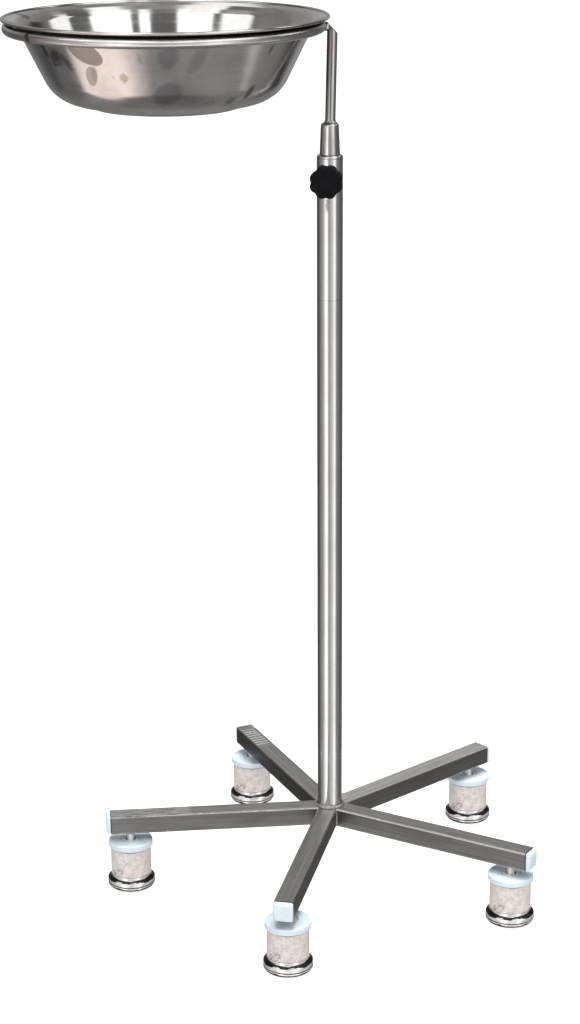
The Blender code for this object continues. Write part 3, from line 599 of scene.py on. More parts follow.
def pebbled_drum():
    """Satin foot drum: a pebbled, speckled skin with a few dark pits low on one side."""
    f = Finish("drum_metal", 0.12)
    x, y, z = f.split()
    pebble = f.noise(620.0, detail=3.0, rough=0.62)
    broad = f.noise(150.0, detail=3.0, rough=0.55, at=(3, 6, 1))
    pits = f.noise(430.0, detail=4.0, rough=0.7, at=(8, 1, 3))
    mixed = f.math("ADD", f.math("MULTIPLY", pebble, 0.6), f.math("MULTIPLY", broad, 0.4))
    base = f.mix(f.span(mixed, 0.36, 0.64), (0.46, 0.408, 0.40), (0.66, 0.606, 0.594))
    base = f.mix(f.span(pits, 0.66, 0.74, 0.0, 0.6), base, (0.20, 0.17, 0.165))
    low = f.math("MULTIPLY", f.span(z, 0.020, 0.026, 1.0, 0.0), f.span(f.math("ADD", f.math("MULTIPLY", x, -0.64), f.math("MULTIPLY", y, -0.77)), 0.0185, 0.0203))
    base = f.mix(f.math("MULTIPLY", low, f.span(pits, 0.51, 0.57, 0.0, 0.85)), base, (0.10, 0.08, 0.08))
    # Painted shade: the top of the drum, under the disc's overhang, is darkened to a dark blue-grey.
    base = f.mix(f.span(z, 0.0424, 0.0430, 0.0, 0.85), base, (0.070, 0.078, 0.105))
    f.colour(base)
    f.rough(f.span(mixed, 0.3, 0.7, 0.62, 0.44))
    f.bump(pebble, 0.30, 0.0005)
    return f.mat


def mirror_plate():
    f = Finish("chrome", 0.62)
    haze = f.noise(260.0, detail=4.0, rough=0.6)
    fine = f.noise(1400.0, detail=2.0, rough=0.5, at=(2, 2, 2))
    x, y, z = f.split()
    # Painted shade and painted dark reflection: near-black lines at the flare's inner corner, in the groove between the
    # beads and along the bottom, wider towards ±X.
    ragged = f.math("ADD", z, f.math("MULTIPLY", f.math("SUBTRACT", f.noise(170.0, detail=2.0, rough=0.5, at=(5, 1, 1)), 0.5), 0.0030))
    flank = f.span(f.math("ABSOLUTE", x), 0.006, 0.020, 0.0, 0.0010)
    wide = f.math("ADD", flank, f.math("MULTIPLY", f.math("SUBTRACT", f.noise(42.0, detail=1.0, rough=0.5, at=(9, 3, 2)), 0.5), 0.0022))
    flare = f.span(f.math("SUBTRACT", f.math("ABSOLUTE", f.math("SUBTRACT", ragged, 0.0100)), wide), 0.00085, 0.00120, 1.0, 0.0)
    groove = f.span(f.math("ABSOLUTE", f.math("SUBTRACT", f.math("ADD", f.math("MULTIPLY", ragged, 0.3), f.math("MULTIPLY", z, 0.7)), 0.0044)), 0.00045, 0.00075, 1.0, 0.0)
    painted_dark_lines = f.math("MAXIMUM", f.math("MAXIMUM", flare, groove), f.span(ragged, 0.0023, 0.0029, 1.0, 0.0))
    base = f.mix(f.span(haze, 0.35, 0.70), (0.70, 0.655, 0.645), (0.79, 0.755, 0.748))
    f.colour(f.mix(f.math("MULTIPLY", painted_dark_lines, 0.97), base, (0.016, 0.013, 0.013)))
    f.put(f.shader.inputs["Metallic"], f.span(painted_dark_lines, 0.0, 1.0, 0.62, 1.0))
    f.rough(f.math("ADD", f.span(fine, 0.35, 0.70, 0.035, 0.09), f.math("MULTIPLY", painted_dark_lines, 0.3)))
    f.bump(haze, 0.03, 0.0005)
    return f.mat


tube_steel = drawn_tube("tube_steel", (0.69, 0.67, 0.665), (0.56, 0.535, 0.525), 0.075, 0.13)
column_steel = column_tube()
bar_steel = drawn_tube("bar_steel", (0.56, 0.542, 0.532), (0.42, 0.402, 0.392), 0.085, 0.15, painted_side_shade=True)
socket_steel = drawn_tube("tube_steel_socket", (0.66, 0.64, 0.635), (0.36, 0.34, 0.33), 0.085, 0.17)
ring_steel = ring_bar()
leg_plain = satin_leg("satin_steel")
leg_scratched = satin_leg("satin_steel_scratched", scratched=0.85)
leg_hatched = satin_leg("satin_steel_hatched", hatched=0.95)
# Two legs get copies of this finish whose top face is painted lighter or darker, as painted light.
leg_painted_lighter = satin_leg("satin_steel_painted_lighter", painted_top_light=1.75)
leg_painted_darker = satin_leg("satin_steel_painted_darker", painted_top_light=0.82)
basin_steel = basin_sheet()
weld_steel = weld_bead()
drum_metal = pebbled_drum()
chrome = mirror_plate()
zinc = drawn_tube("zinc_steel", (0.95, 0.955, 0.96), (0.86, 0.865, 0.87), 0.26, 0.40, metallic=0.45)
pale_plastic = moulded("pale_plastic", (0.485, 0.56, 0.612), (0.56, 0.63, 0.678), 0.34, 0.46, 900.0, 0.05)
disc_pale = disc_plastic()
guide_plastic = moulded("guide_plastic", (0.52, 0.52, 0.50), (0.62, 0.62, 0.60), 0.38, 0.5, 900.0, 0.08)
black_plastic = moulded("black_plastic", (0.0026, 0.0026, 0.0036), (0.0050, 0.0050, 0.0066), 0.46, 0.62, 1400.0, 0.18, specular=0.06)
dark_rubber = moulded("dark_rubber", (0.018, 0.017, 0.016), (0.035, 0.033, 0.031), 0.65, 0.85, 700.0, 0.20)

# ---------------------------------------------------------------- legs and end caps
inside = LEG_SIDE - 2 * LEG_WALL
half_sector = math.pi / LEG_COUNT
apex = 0.03 / math.sin(half_sector)
reach = 420.0
sector = weave(
    [
        [
            (apex, 0, z),
            (apex + reach * math.cos(half_sector), -reach * math.sin(half_sector), z),
            (apex + reach * math.cos(half_sector), reach * math.sin(half_sector), z),
        ]
        for z in (-40.0, 40.0)
    ],
    "leg_sector",
    ends=True,
)
leg_mesh = cut(
    weave(
        [
            square_row(LEG_SIDE, LEG_CORNER, 4.0),
            square_row(LEG_SIDE, LEG_CORNER, LEG_END - 0.25),
            square_row(LEG_SIDE - 0.3, LEG_CORNER - 0.15, LEG_END),
            square_row(inside, LEG_CORNER - LEG_WALL, LEG_END),
            square_row(inside, LEG_CORNER - LEG_WALL, 4.0),
        ],
        "leg_blank",
        loop=True,
    ),
    "leg_visual",
    [
        ("INTERSECT", sector, Matrix.Identity(4)),
        ("DIFFERENCE", bar("leg_cope", COLUMN_R + 0.1, -40.0, 40.0, 128), Matrix.Identity(4)),
        ("DIFFERENCE", bar("leg_stud_way", STUD_R + 0.7, -30.0, 0.0, 48), Matrix.Translation((FOOT_RADIUS * MM, 0, 0))),
    ],
)
cap_rows = [
    square_row(16.1, 0.8, -12.0),
    square_row(16.9, 1.2, -11.4),
    square_row(16.9, 1.2, GAP),
    square_row(19.2, 2.2, GAP),
    square_row(19.8, 2.2, GAP + 0.4),
]
for k in range(13):
    a = math.radians(90 * k / 12)
    cap_rows.append(square_row(19.8 - 7.2 * (1 - math.cos(a)), 2.2, 1.3 + 3.5 * math.sin(a)))
cap_rows.append(square_row(7.0, 1.4, 5.0))
cap_mesh = weave(cap_rows, "leg_cap_visual", ends=True, sharp_deg=50)

# ---------------------------------------------------------------- foot pieces
stud_mesh = threaded("foot_stud_visual", STUD_R, STUD_PITCH, STUD_BOTTOM, STUD_TOP)
disc_mesh = lathe(
    "foot_disc_visual",
    fillet(
        [
            (0, STUD_BOTTOM - GAP),
            (STUD_R + GAP, STUD_BOTTOM - GAP),
            (STUD_R + GAP, DISC_TOP - 5.0),
            (STUD_R + 1.5, DISC_TOP - 4.4),
            (STUD_R + 1.5, DISC_TOP, 0.5),
            (9.2, DISC_TOP, 0.15, 2),
            (9.4, DISC_TOP - 0.5, 0.15, 2),
            (10.2, DISC_TOP - 0.5, 0.15, 2),
            (10.4, DISC_TOP, 0.15, 2),
            (DISC_R, DISC_TOP, 1.6),
            (DISC_R, DISC_BOTTOM, 0.5),
            (19.0, DISC_BOTTOM),
            (19.0, 31.0, 0.6),
            (0, 31.0),
        ],
        6,
    ),
    96,
)
nib_mesh = weave(
    [
        [(x, sy * w, 46.2 + sz * h) for sy, sz in ((-1, -1), (1, -1), (1, 1), (-1, 1))]
        for x, w, h in ((DISC_R - 0.4, 1.0, 0.9), (DISC_R + 0.7, 0.9, 0.8), (DISC_R + 1.0, 0.5, 0.5))
    ],
    "foot_nib_visual",
    ends=True,
)
disc_mesh = cut(disc_mesh, "foot_disc_visual", [("UNION", nib_mesh, Matrix.Rotation(math.radians(-14), 4, "Z"))])
drum_mesh = lathe(
    "foot_drum_visual",
    closed_fillet(
        [
            (DRUM_R, DISC_BOTTOM - GAP, 0.4),
            (DRUM_R, DRUM_BOTTOM, 0.4),
            (DRUM_R - DRUM_WALL, DRUM_BOTTOM),
            (DRUM_R - DRUM_WALL, DISC_BOTTOM - GAP),
        ],
        3,
    ),
    96,
    closed=True,
)
ring_mesh = lathe(
    "foot_ring_visual",
    closed_fillet(
        [
            (19.0, 20.0),
            (19.0, 14.0),
            (20.9, 14.0, 0.3, 3),
            (21.1, 9.8, 4.0, 10),
            (24.4, 8.4, 1.6, 8),
            (24.4, 4.2, 0.9, 6),
            (23.3, 4.1, 0.15, 2),
            (24.5, 3.7, 0.5, 5),
            (24.5, 1.5, 0.9, 6),
            (17.4, 1.5),
            (17.4, 20.0),
        ],
        4,
    ),
    128,
    closed=True,
    sharp_deg=50,
)
pad_mesh = lathe(
    "foot_pad_visual",
    fillet([(0, 6.0), (17.1, 6.0, 0.4), (17.1, 1.2), (23.4, 1.2, 0.2, 2), (23.0, 0.0, 0.4), (0, 0.0)], 4),
    96,
)

leg_finish = {2: leg_painted_lighter, 3: leg_hatched, 4: leg_scratched, 5: leg_painted_darker}
middle = (LEG_BOTTOM + LEG_TOP) / 2
for k in range(LEG_COUNT):
    n = k + 1
    deg = LEG_FIRST_DEG + 360.0 / LEG_COUNT * k
    out = Vector((math.cos(math.radians(deg)), math.sin(math.radians(deg)), 0))
    add(f"leg_{n}_visual", leg_mesh.copy(), leg_finish.get(n, leg_plain), "base", at_axis(0, 0, middle, spin(deg)), f"leg_{n}")
    add(
        f"leg_cap_{n}_visual",
        cap_mesh.copy(),
        pale_plastic,
        "base",
        at_axis(out.x * LEG_END, out.y * LEG_END, middle, spin(deg)),
        f"leg_cap_{n}",
    )
    foot = at_axis(out.x * FOOT_RADIUS, out.y * FOOT_RADIUS, 0)
    add(f"foot_stud_{n}_visual", stud_mesh.copy(), zinc, f"stud_{n}", foot, f"foot_stud_{n}")
    for kind, mesh, mat, slot in (
        ("disc", disc_mesh, disc_pale, "pale_plastic"),
        ("drum", drum_mesh, drum_metal, "drum_metal"),
        ("ring", ring_mesh, chrome, "chrome"),
        ("pad", pad_mesh, dark_rubber, "dark_rubber"),
    ):
        add(f"foot_{kind}_{n}_visual", mesh.copy(), mat, f"foot_{n}", foot, f"foot_{kind}_{n}")
    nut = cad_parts[f"foot_nut_{n}"]
    nut.data.materials.clear()
    nut.data.materials.append(zinc)

# ---------------------------------------------------------------- column
column_mesh = cut(
    lathe(
        "column_blank",
        closed_fillet(
            [
                (COLUMN_R, COLUMN_TOP, 0.25),
                (COLUMN_R, COLUMN_BOTTOM, 0.25),
                (COLUMN_R - COLUMN_WALL, COLUMN_BOTTOM),
                (COLUMN_R - COLUMN_WALL, COLUMN_TOP),
            ],
            2,
        ),
        128,
        closed=True,
    ),
    "column_visual",
    [("DIFFERENCE", bar("screw_way", 4.3, 3.0, 40.0, 48), Matrix.Translation((0, 0, CLAMP_Z * MM)) @ outward(CLAMP_DEG))],
)
add("column_visual", column_mesh, column_steel, "base", at_axis(), "column")


def ripple(a, i):
    """The stacked ripples of a weld bead, strongest in the middle of its profile."""
    if i in (0, 6, 7):
        return (0.0, 0.0)
    return (0.16 * math.cos(26 * a) + 0.10 * math.cos(7 * a + 1), 0.10 * math.cos(26 * a + 0.8))


bead = fillet([(13.0, 82.7), (13.25, 80.9, 1.5), (15.6, 79.8)], 5)
add(
    "column_weld_visual",
    lathe("column_weld_visual", [*bead, (13.0, 79.8)], 208, closed=True, wave=ripple, sharp_deg=50),
    weld_steel,
    "base",
    at_axis(),
    "column_weld",
)
add(
    "column_guide_visual",
    lathe(
        "column_guide_visual",
        closed_fillet(
            [
                (9.725, 758.6, 0.3, 3),
                (12.7, 758.6, 1.8, 8),
                (12.7, 755.8, 0.2, 2),
                (11.0, 755.8),
                (11.0, 742.3),
                (9.725, 742.3),
            ],
            4,
        ),
        128,
        closed=True,
    ),
    tube_steel,
    "base",
    at_axis(),
    "column_guide",
)

# Short weld beads in the corners between neighbouring legs
corner_r = LEG_SIDE / 2 / math.sin(half_sector)
for k in range(LEG_COUNT):
    deg = LEG_FIRST_DEG + 360.0 / LEG_COUNT * (k + 0.5)
    rows = []
    for i in range(41):
        t = i / 40
        z = 60.6 + 17.4 * t
        ease = math.sqrt(max(0.0, 1 - abs(2 * t - 1) ** 6))
        swell = (1.0 + 0.10 * math.sin(17 * t + k) + 0.06 * math.sin(41 * t)) * ease
        spread = 1.5 * swell
        row = [(corner_r - 0.55, 0.0, z)]
        for j in range(7):
            s = -1 + 2 * j / 6
            row.append((corner_r + 0.02 + abs(s) * spread * 0.72 + 0.34 * swell * (1 - s * s), s * spread * 0.98 * math.tan(half_sector) * 1.3, z))
        rows.append(row)
    add(f"corner_weld_{k + 1}", weave(rows, f"corner_weld_{k + 1}", ends=True, sharp_deg=60), weld_steel, "base", at_axis(0, 0, 0, spin(deg)), None)

# ---------------------------------------------------------------- clamp
clamp_axis = outward(CLAMP_DEG)
boss_mesh = cut(
    bar("boss_blank", 8.0, 4.0, 20.5, 96, edge=0.8),
    "clamp_boss_visual",
    [
        ("DIFFERENCE", bar("column_round", COLUMN_R + 0.08, -60.0, 60.0, 128), Matrix.Rotation(math.pi / 2, 4, "Y")),
        ("DIFFERENCE", bar("boss_bore", 4.3, -5.0, 40.0, 48), Matrix.Identity(4)),
    ],
)
add("clamp_boss_visual", boss_mesh, tube_steel, "base", at_axis(0, 0, CLAMP_Z, clamp_axis), "clamp_boss")
add(
    "clamp_screw_visual",
    threaded("clamp_screw_visual", 4.0, 1.25, 9.825, 31.6),
    zinc,
    "clamp_screw",
    at_axis(0, 0, CLAMP_Z, clamp_axis),
    "clamp_screw",
)


def lobed(radius, wave, z, sides=192):
    """One row of the knob's outline: broad round lobes with narrower valleys."""
    row = []
    for i in range(sides):
        a = TURN * i / sides
        s = (1 - math.cos(8 * a)) / 2
        r = radius + wave * 1.7 * (s**0.62 - 0.5)
        row.append((r * math.cos(a), r * math.sin(a), z))
    return row


back, front, knob_r = 22.6, 38.6, 15.2
knob_rows = [
    lobed(4.3, 0, back + 9.3),
    lobed(4.3, 0, back - 1.6),
    lobed(8.2, 0, back - 1.6),
    lobed(8.6, 0, back - 1.2),
    lobed(8.6, 0, back),
    lobed(knob_r - 1.2, 1, back),
]
for k in range(1, 5):
    a = math.radians(90 * k / 4)
    knob_rows.append(lobed(knob_r - 1.2 + 1.2 * math.sin(a), 1, back + 1.2 - 1.2 * math.cos(a)))
for k in range(9):
    a = math.radians(90 * k / 8)
    knob_rows.append(lobed(knob_r - 3.4 * (1 - math.cos(a)), 1 - 0.35 * k / 8, front - 4.0 + 3.4 * math.sin(a)))
for r, wave, drop in ((10.6, 0.45, 0.42), (9.2, 0.2, 0.20), (7.0, 0.0, 0.06), (3.5, 0.0, 0.0)):
    knob_rows.append(lobed(r, wave, front - drop))
add(
    "clamp_knob_visual",
    weave(knob_rows, "clamp_knob_visual", ends=True, sharp_deg=50),
    black_plastic,
    "clamp_knob",
    at_axis(0, 0, CLAMP_Z, clamp_axis),
    "clamp_knob",
)
# The dull knob leaves no mirror image in the column above it.
bpy.data.objects["clamp_knob_visual"].visible_glossy = False

# ---------------------------------------------------------------- telescoping holder
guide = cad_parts["tube_guide"]
guide.data.materials.clear()
guide.data.materials.append(guide_plastic)
add(
    "inner_tube_visual",
    lathe(
        "inner_tube_visual",
        closed_fillet(
            [
                (TUBE_R, TUBE_TOP, 0.2),
                (TUBE_R, TUBE_BOTTOM, 0.2),
                (TUBE_R - TUBE_WALL, TUBE_BOTTOM),
                (TUBE_R - TUBE_WALL, TUBE_TOP),
            ],
            2,
        ),
        96,
        closed=True,
    ),
    tube_steel,
    "holder",
    at_axis(),
    "inner_tube",
)
add(
    "tube_socket_visual",
    lathe(
        "tube_socket_visual",
        fillet(
            [
                (0, 764.9),
                (5.7, 764.9),
                (5.7, SOCKET_TOP, 0.3, 3),
                (8.6, SOCKET_TOP, 2.4, 10),
                (9.85, SOCKET_BOTTOM, 0.4, 3),
                (8.125, SOCKET_BOTTOM),
                (8.125, 740.0, 0.6, 3),
                (0, 740.0),
            ],
            4,
        ),
        128,
    ),
    socket_steel,
    "holder",
    at_axis(),
    "tube_socket",
)

# The upright rod: plain below, with its top ground off on a slant and the cut's edge broken
lean = Matrix.Rotation(math.atan(ROD_LEAN), 4, "Y")
rod_rows, sides = [], 64
high = ROD_HIGH_Z - ROD_FOOT_Z
for z, shrink in ((0.0, 0.6), (0.18, 0.18), (0.6, 0.0)):
    rod_rows.append([((ROD_R - shrink) * math.cos(TURN * k / sides), (ROD_R - shrink) * math.sin(TURN * k / sides), z) for k in range(sides)])
for t in range(1, 9):
    z = 0.6 + (high - 14.0 - 0.6) * t / 8
    rod_rows.append([(ROD_R * math.cos(TURN * k / sides), ROD_R * math.sin(TURN * k / sides), z) for k in range(sides)])
for shrink, drop in ((0.0, 0.75), (0.12, 0.28), (0.42, 0.04), (0.9, 0.0), (2.4, 0.0)):
    row = []
    for k in range(sides):
        a = TURN * k / sides
        x = (ROD_R - shrink) * math.cos(a)
        row.append((x, (ROD_R - shrink) * math.sin(a), high - (x + ROD_R) - drop))
    rod_rows.append(row)
add("upright_rod_visual", weave(rod_rows, "upright_rod_visual", ends=True, sharp_deg=55), bar_steel, "holder", at_axis(ROD_FOOT_X, 0, ROD_FOOT_Z, lean), "upright_rod")
rod_bead = fillet([(5.25, 791.6), (5.5, 789.9, 0.9), (7.0, 789.1)], 4)


def small_ripple(a, i):
    if i in (0, len(rod_bead) - 1, len(rod_bead)):
        return (0.0, 0.0)
    return (0.12 * math.cos(15 * a) + 0.10 * math.cos(4 * a + 2), 0.08 * math.cos(15 * a + 1))


add(
    "rod_weld_visual",
    lathe("rod_weld_visual", [*rod_bead, (5.25, 789.1)], 120, closed=True, wave=small_ripple, sharp_deg=55),
    weld_steel,
    "holder",
    at_axis(ROD_FOOT_X + (SOCKET_TOP + 1 - ROD_FOOT_Z) * ROD_LEAN, 0, 0),
    "rod_weld",
)


def bent_bar(name, radius, first_deg, last_deg, segments, sides, edge=0.35, seam=50):
    """A round bar bent about Z, with broken edges at its flat ends."""
    rows = []
    turn = math.degrees(1.0 / RING_R)
    marks = [(first_deg + d * turn, s) for s, d in [(edge * 1.0, 0.0), (edge * 0.3, edge * 0.3), (0.0, edge)]]
    marks += [(first_deg + (last_deg - first_deg) * i / segments, 0.0) for i in range(1, segments)]
    marks += [(last_deg - d * turn, s) for s, d in [(0.0, edge), (edge * 0.3, edge * 0.3), (edge * 1.0, 0.0)]]
    for deg, shrink in marks:
        a = math.radians(deg)
        r = radius - shrink
        rows.append(
            [
                (
                    (RING_R + r * math.cos(t)) * math.cos(a),
                    (RING_R + r * math.cos(t)) * math.sin(a),
                    r * math.sin(t),
                )
                for t in (TURN * j / sides for j in range(sides))
            ]
        )
    return weave(rows, name, ends=True, sharp_deg=seam)


seam_half = math.degrees(SEAM_GAP / 2 / RING_R)
add(
    "basin_ring_visual",
    bent_bar("basin_ring_visual", BAR_R, SEAM_DEG + seam_half, SEAM_DEG + 360 - seam_half, 240, 32),
    ring_steel,
    "holder",
    at_axis(RING_X, 0, RING_Z),
    "basin_ring",
)
touch_x = RING_X + RING_R + BAR_R + 0.1
bm = bmesh.new()
bmesh.ops.create_icosphere(bm, subdivisions=4, radius=1.0)
for v in bm.verts:
    d = v.co.normalized()
    swell = 1 + 0.06 * math.sin(7 * d.z + 3 * d.y) + 0.05 * math.sin(9 * d.y + 2)
    v.co = Vector((3.6 * d.x, 5.2 * d.y, 4.2 * d.z)) * swell
rod_x = ROD_FOOT_X + (RING_Z - ROD_FOOT_Z) * ROD_LEAN
bead_mesh = cut(
    finish(bm, "bead_blank"),
    "ring_weld_visual",
    [
        ("DIFFERENCE", bent_bar("fat_ring", BAR_R + 0.05, -20.0, 20.0, 24, 48), Matrix.Translation(((RING_X - touch_x) * MM, 0, 0.0007))),
        ("DIFFERENCE", bar("fat_rod", ROD_R + 0.05, -60.0, 60.0, 64), Matrix.Translation(((rod_x - touch_x) * MM, 0, 0)) @ lean),
    ],
    sharp_deg=50,
)
add("ring_weld_visual", bead_mesh, weld_steel, "holder", at_axis(touch_x, 0, RING_Z - 0.7), "ring_weld")

# ---------------------------------------------------------------- basin
SHEET, RIM_R, RIM_Z, RIM_BEAD, WALL_LEAN, BAND_RISE = 0.9, 154.0, 888.8, 1.6, 0.495, 0.19


def wall(z):
    return 122.0 + (z - 845.0) * WALL_LEAN


brim_rise = math.tan(math.radians(21.3))
turn_r = (wall(RIM_Z) - WALL_LEAN * RIM_R * brim_rise) / (1 - WALL_LEAN * brim_rise)
turn_z = RIM_Z - (RIM_R - turn_r) * brim_rise
band_r, band_z = 72.0, 806.8
corner_z = (band_z + (wall(0) - band_r) * BAND_RISE) / (1 - WALL_LEAN * BAND_RISE)
sheet = fillet(
    [
        (0, 804.8),
        (30.0, 804.8),
        (60.0, 804.8),
        (69.6, 804.8, 1.2, 4),
        (band_r, band_z, 1.4, 4),
        (wall(corner_z), corner_z, 40.0, 20),
        (turn_r, turn_z, 17.0, 18),
        (RIM_R, RIM_Z),
    ],
    8,
)


def beside(line, distance):
    """A polyline at a distance to the left of another one."""
    out = []
    for i, p in enumerate(line):
        before = line[i] - line[i - 1] if i else line[1] - line[0]
        after = line[i + 1] - line[i] if i + 1 < len(line) else before
        left = Vector((-before.y, before.x)).normalized() + Vector((-after.y, after.x)).normalized()
        left.normalize()
        reach_out = max(0.5, left.dot(Vector((-before.y, before.x)).normalized()))
        out.append(p + left * (distance / reach_out))
    return out


upper, under = beside(sheet, SHEET / 2), beside(sheet, -SHEET / 2)
rim = Vector((RIM_R, RIM_Z))
heading = (sheet[-1] - sheet[-2]).normalized()
opening = math.asin(SHEET / 2 / RIM_BEAD)
rolled = []
for k in range(15):
    a = math.pi - opening - (TURN - 2 * opening) * k / 14
    side = Vector((-heading.y, heading.x))
    rolled.append(rim + (heading * math.cos(a) + side * math.sin(a)) * RIM_BEAD)
upper[0].x = under[0].x = 0.0
add(
    "basin_visual",
    lathe("basin_visual", upper[:-1] + rolled + under[-2::-1], 216, sharp_deg=60),
    basin_steel,
    "basin",
    at_axis(BASIN_X, 0, 0),
    "basin",
)

# ---------------------------------------------------------------- camera
pitch, yaw, roll = (math.radians(d) for d in (17.62251, -1.98225, -0.29904))
ahead = Vector((math.sin(yaw) * math.cos(pitch), math.cos(yaw) * math.cos(pitch), -math.sin(pitch)))
right = Vector((math.cos(yaw), -math.sin(yaw), 0.0))
above = right.cross(ahead)
right, above = (
    right * math.cos(roll) + above * math.sin(roll),
    above * math.cos(roll) - right * math.sin(roll),
)
lens = bpy.data.cameras.new("camera")
lens.sensor_fit = "VERTICAL"
lens.sensor_height = 36.0
lens.sensor_width = 36.0
lens.lens = 2344.3735 * 36.0 / 1024
lens.clip_start, lens.clip_end = 0.05, 200.0
camera = bpy.data.objects.new("camera", lens)
bpy.context.collection.objects.link(camera)
camera.matrix_world = Matrix(
    (
        (right.x, above.x, -ahead.x, 0.0882166),
        (right.y, above.y, -ahead.y, -2.2372372),
        (right.z, above.z, -ahead.z, 1.1125471),
        (0, 0, 0, 1),
    )
)
bpy.context.scene.camera = camera

# ---------------------------------------------------------------- floor
bm = bmesh.new()
bmesh.ops.create_circle(bm, cap_ends=True, segments=96, radius=40.0)
floor_mesh = bpy.data.meshes.new("floor")
bm.to_mesh(floor_mesh)
bm.free()
floor = bpy.data.objects.new("floor", floor_mesh)
bpy.context.collection.objects.link(floor)
floor.location.z = -0.0051  # room for a foot that is screwed right out
paper = Finish("paper", 0.0, 0.9, specular=0.0)
fibre = paper.noise(60.0, detail=4.0, rough=0.6)
paper.colour(paper.mix(paper.span(fibre, 0.3, 0.7), (0.28, 0.28, 0.28), (0.30, 0.30, 0.30)))
paper.shader.inputs["Emission Color"].default_value = (1.0, 1.0, 1.0, 1.0)
paper.shader.inputs["Emission Strength"].default_value = 0.92
floor_mesh.materials.append(paper.mat)
floor.visible_glossy = False

# ---------------------------------------------------------------- studio light: soft panels round the object, seen by the steel as long bright and dark bands
world = bpy.data.worlds.new("studio")
bpy.context.scene.world = world
world.use_nodes = True
tree = world.node_tree
tree.nodes.clear()


def w_new(kind, **settings):
    node = tree.nodes.new(kind)
    for key, value in settings.items():
        setattr(node, key, value)
    return node


def w_put(socket, value):
    if isinstance(value, bpy.types.NodeSocket):
        tree.links.new(value, socket)
    else:
        socket.default_value = value


def w_math(operation, a, b=0.0):
    node = w_new("ShaderNodeMath", operation=operation)
    w_put(node.inputs[0], a)
    w_put(node.inputs[1], b)
    return node.outputs[0]


def w_span(value, low, high, a=0.0, b=1.0):
    node = w_new("ShaderNodeMapRange", interpolation_type="SMOOTHSTEP")
    w_put(node.inputs["Value"], value)
    for key, number in (("From Min", low), ("From Max", high), ("To Min", a), ("To Max", b)):
        node.inputs[key].default_value = number
    return node.outputs["Result"]


def w_mix(factor, a, b):
    node = w_new("ShaderNodeMix", data_type="RGBA")
    w_put(node.inputs[0], factor)
    w_put(node.inputs[6], (*a, 1.0) if isinstance(a, tuple) else a)
    w_put(node.inputs[7], (*b, 1.0) if isinstance(b, tuple) else b)
    return node.outputs[2]


TOP = 2.4  # the brightest panel


def w_panels(bearing, stops, reach=180.0):
    """Light by bearing: 0 is the camera's side, plus is to its right. stops are (degrees, light or colour)."""
    node = w_new("ShaderNodeValToRGB")
    ramp = node.color_ramp
    ramp.interpolation = "LINEAR"
    for i, (deg, light) in enumerate(stops):
        at = (deg + reach) / (2 * reach)
        mark = ramp.elements[i] if i < 2 else ramp.elements.new(at)
        mark.position = at
        rgb = light if isinstance(light, tuple) else (light, light, light)
        mark.color = (*(c / TOP for c in rgb), 1.0)
    w_put(node.inputs["Fac"], w_math("DIVIDE", w_math("ADD", bearing, math.radians(reach)), math.radians(2 * reach)))
    return node.outputs["Color"]


ray = w_new("ShaderNodeTexCoord").outputs["Generated"]
part = w_new("ShaderNodeSeparateXYZ")
w_put(part.inputs[0], ray)
bearing = w_math("ARCTAN2", part.outputs[0], w_math("MULTIPLY", part.outputs[1], -1.0))
height = w_math("ARCSINE", part.outputs[2])
deg = math.radians


def bars(base, edges, soft=2.5):
    """Stops for bright bars: edges are (from, to, light)."""
    out = [(-180.0, base)]
    for low, up, light in sorted(edges):
        out += [(low - soft, base), (low + soft, light), (up - soft, light), (up + soft, base)]
    return out + [(180.0, base)]


WARM = (1.34, 1.16, 1.09)
BARS = [(-81.0, -51.0, 1.8), (-42.5, -7.0, 2.2), (20.5, 31.0, 2.2), (39.5, 79.0, 2.2), (100.5, 120.0, 1.7)]
high_band = w_panels(
    bearing,
    [
        (-180.0, 0.40),
        (-177.0, 0.60),
        (-172.0, 1.30),
        (-166.0, 1.30),
        (-161.0, 0.26),
        (-90.0, 0.26),
        *bars(0.19, BARS, 1.2)[1:-1],
        (124.0, 0.22),
        (166.0, 0.28),
        (176.0, 0.30),
        (180.0, 0.40),
    ],
)
shoulder_band = w_panels(
    bearing,
    [
        (-180.0, 0.45),
        (-150.0, 0.36),
        (-120.0, 0.30),
        (-90.0, 0.30),
        (-83.0, 0.19),
        (-79.0, 1.80),
        (-58.0, 1.90),
        (58.0, 1.90),
        (78.0, 1.90),
        (81.0, 0.19),
        (98.5, 0.19),
        (101.5, 1.70),
        (119.0, 1.70),
        (122.0, 0.24),
        (150.0, 0.28),
        (174.0, 0.33),
        (180.0, 0.45),
    ],
)
brow_band = w_panels(
    bearing,
    [
        (-180.0, 0.50),
        (-156.0, 0.36),
        (-126.0, 0.34),
        (-114.0, 0.06),
        (-84.0, 0.05),
        (-70.0, 0.36),
        (-56.0, 0.42),
        (56.0, 0.42),
        (70.0, 0.36),
        (84.0, 0.05),
        (144.0, 0.06),
        (154.0, 0.30),
        (174.0, 0.36),
        (180.0, 0.50),
    ],
)
level_band = w_panels(
    bearing,
    [
        (-180.0, 0.30),
        (-158.0, 0.24),
        (-132.0, 0.09),
        (-114.0, 0.10),
        (-97.0, 0.24),
        (-84.0, 0.36),
        (-72.0, 0.42),
        (-61.0, 0.55),
        (-51.0, 0.85),
        (-42.0, 1.35),
        (-31.0, 2.00),
        (-23.0, 1.80),
        (-14.0, 0.80),
        (-4.0, 0.42),
        (5.0, 0.58),
        (15.0, 0.82),
        (25.0, 0.84),
        (34.0, 1.20),
        (43.0, 1.80),
        (52.0, 1.20),
        (62.0, 0.40),
        (74.0, 0.28),
        (99.0, 0.20),
        (116.0, 0.11),
        (134.0, 0.19),
        (142.0, 0.05),
        (148.0, 0.06),
        (158.0, 0.33),
        (180.0, 0.30),
    ],
)
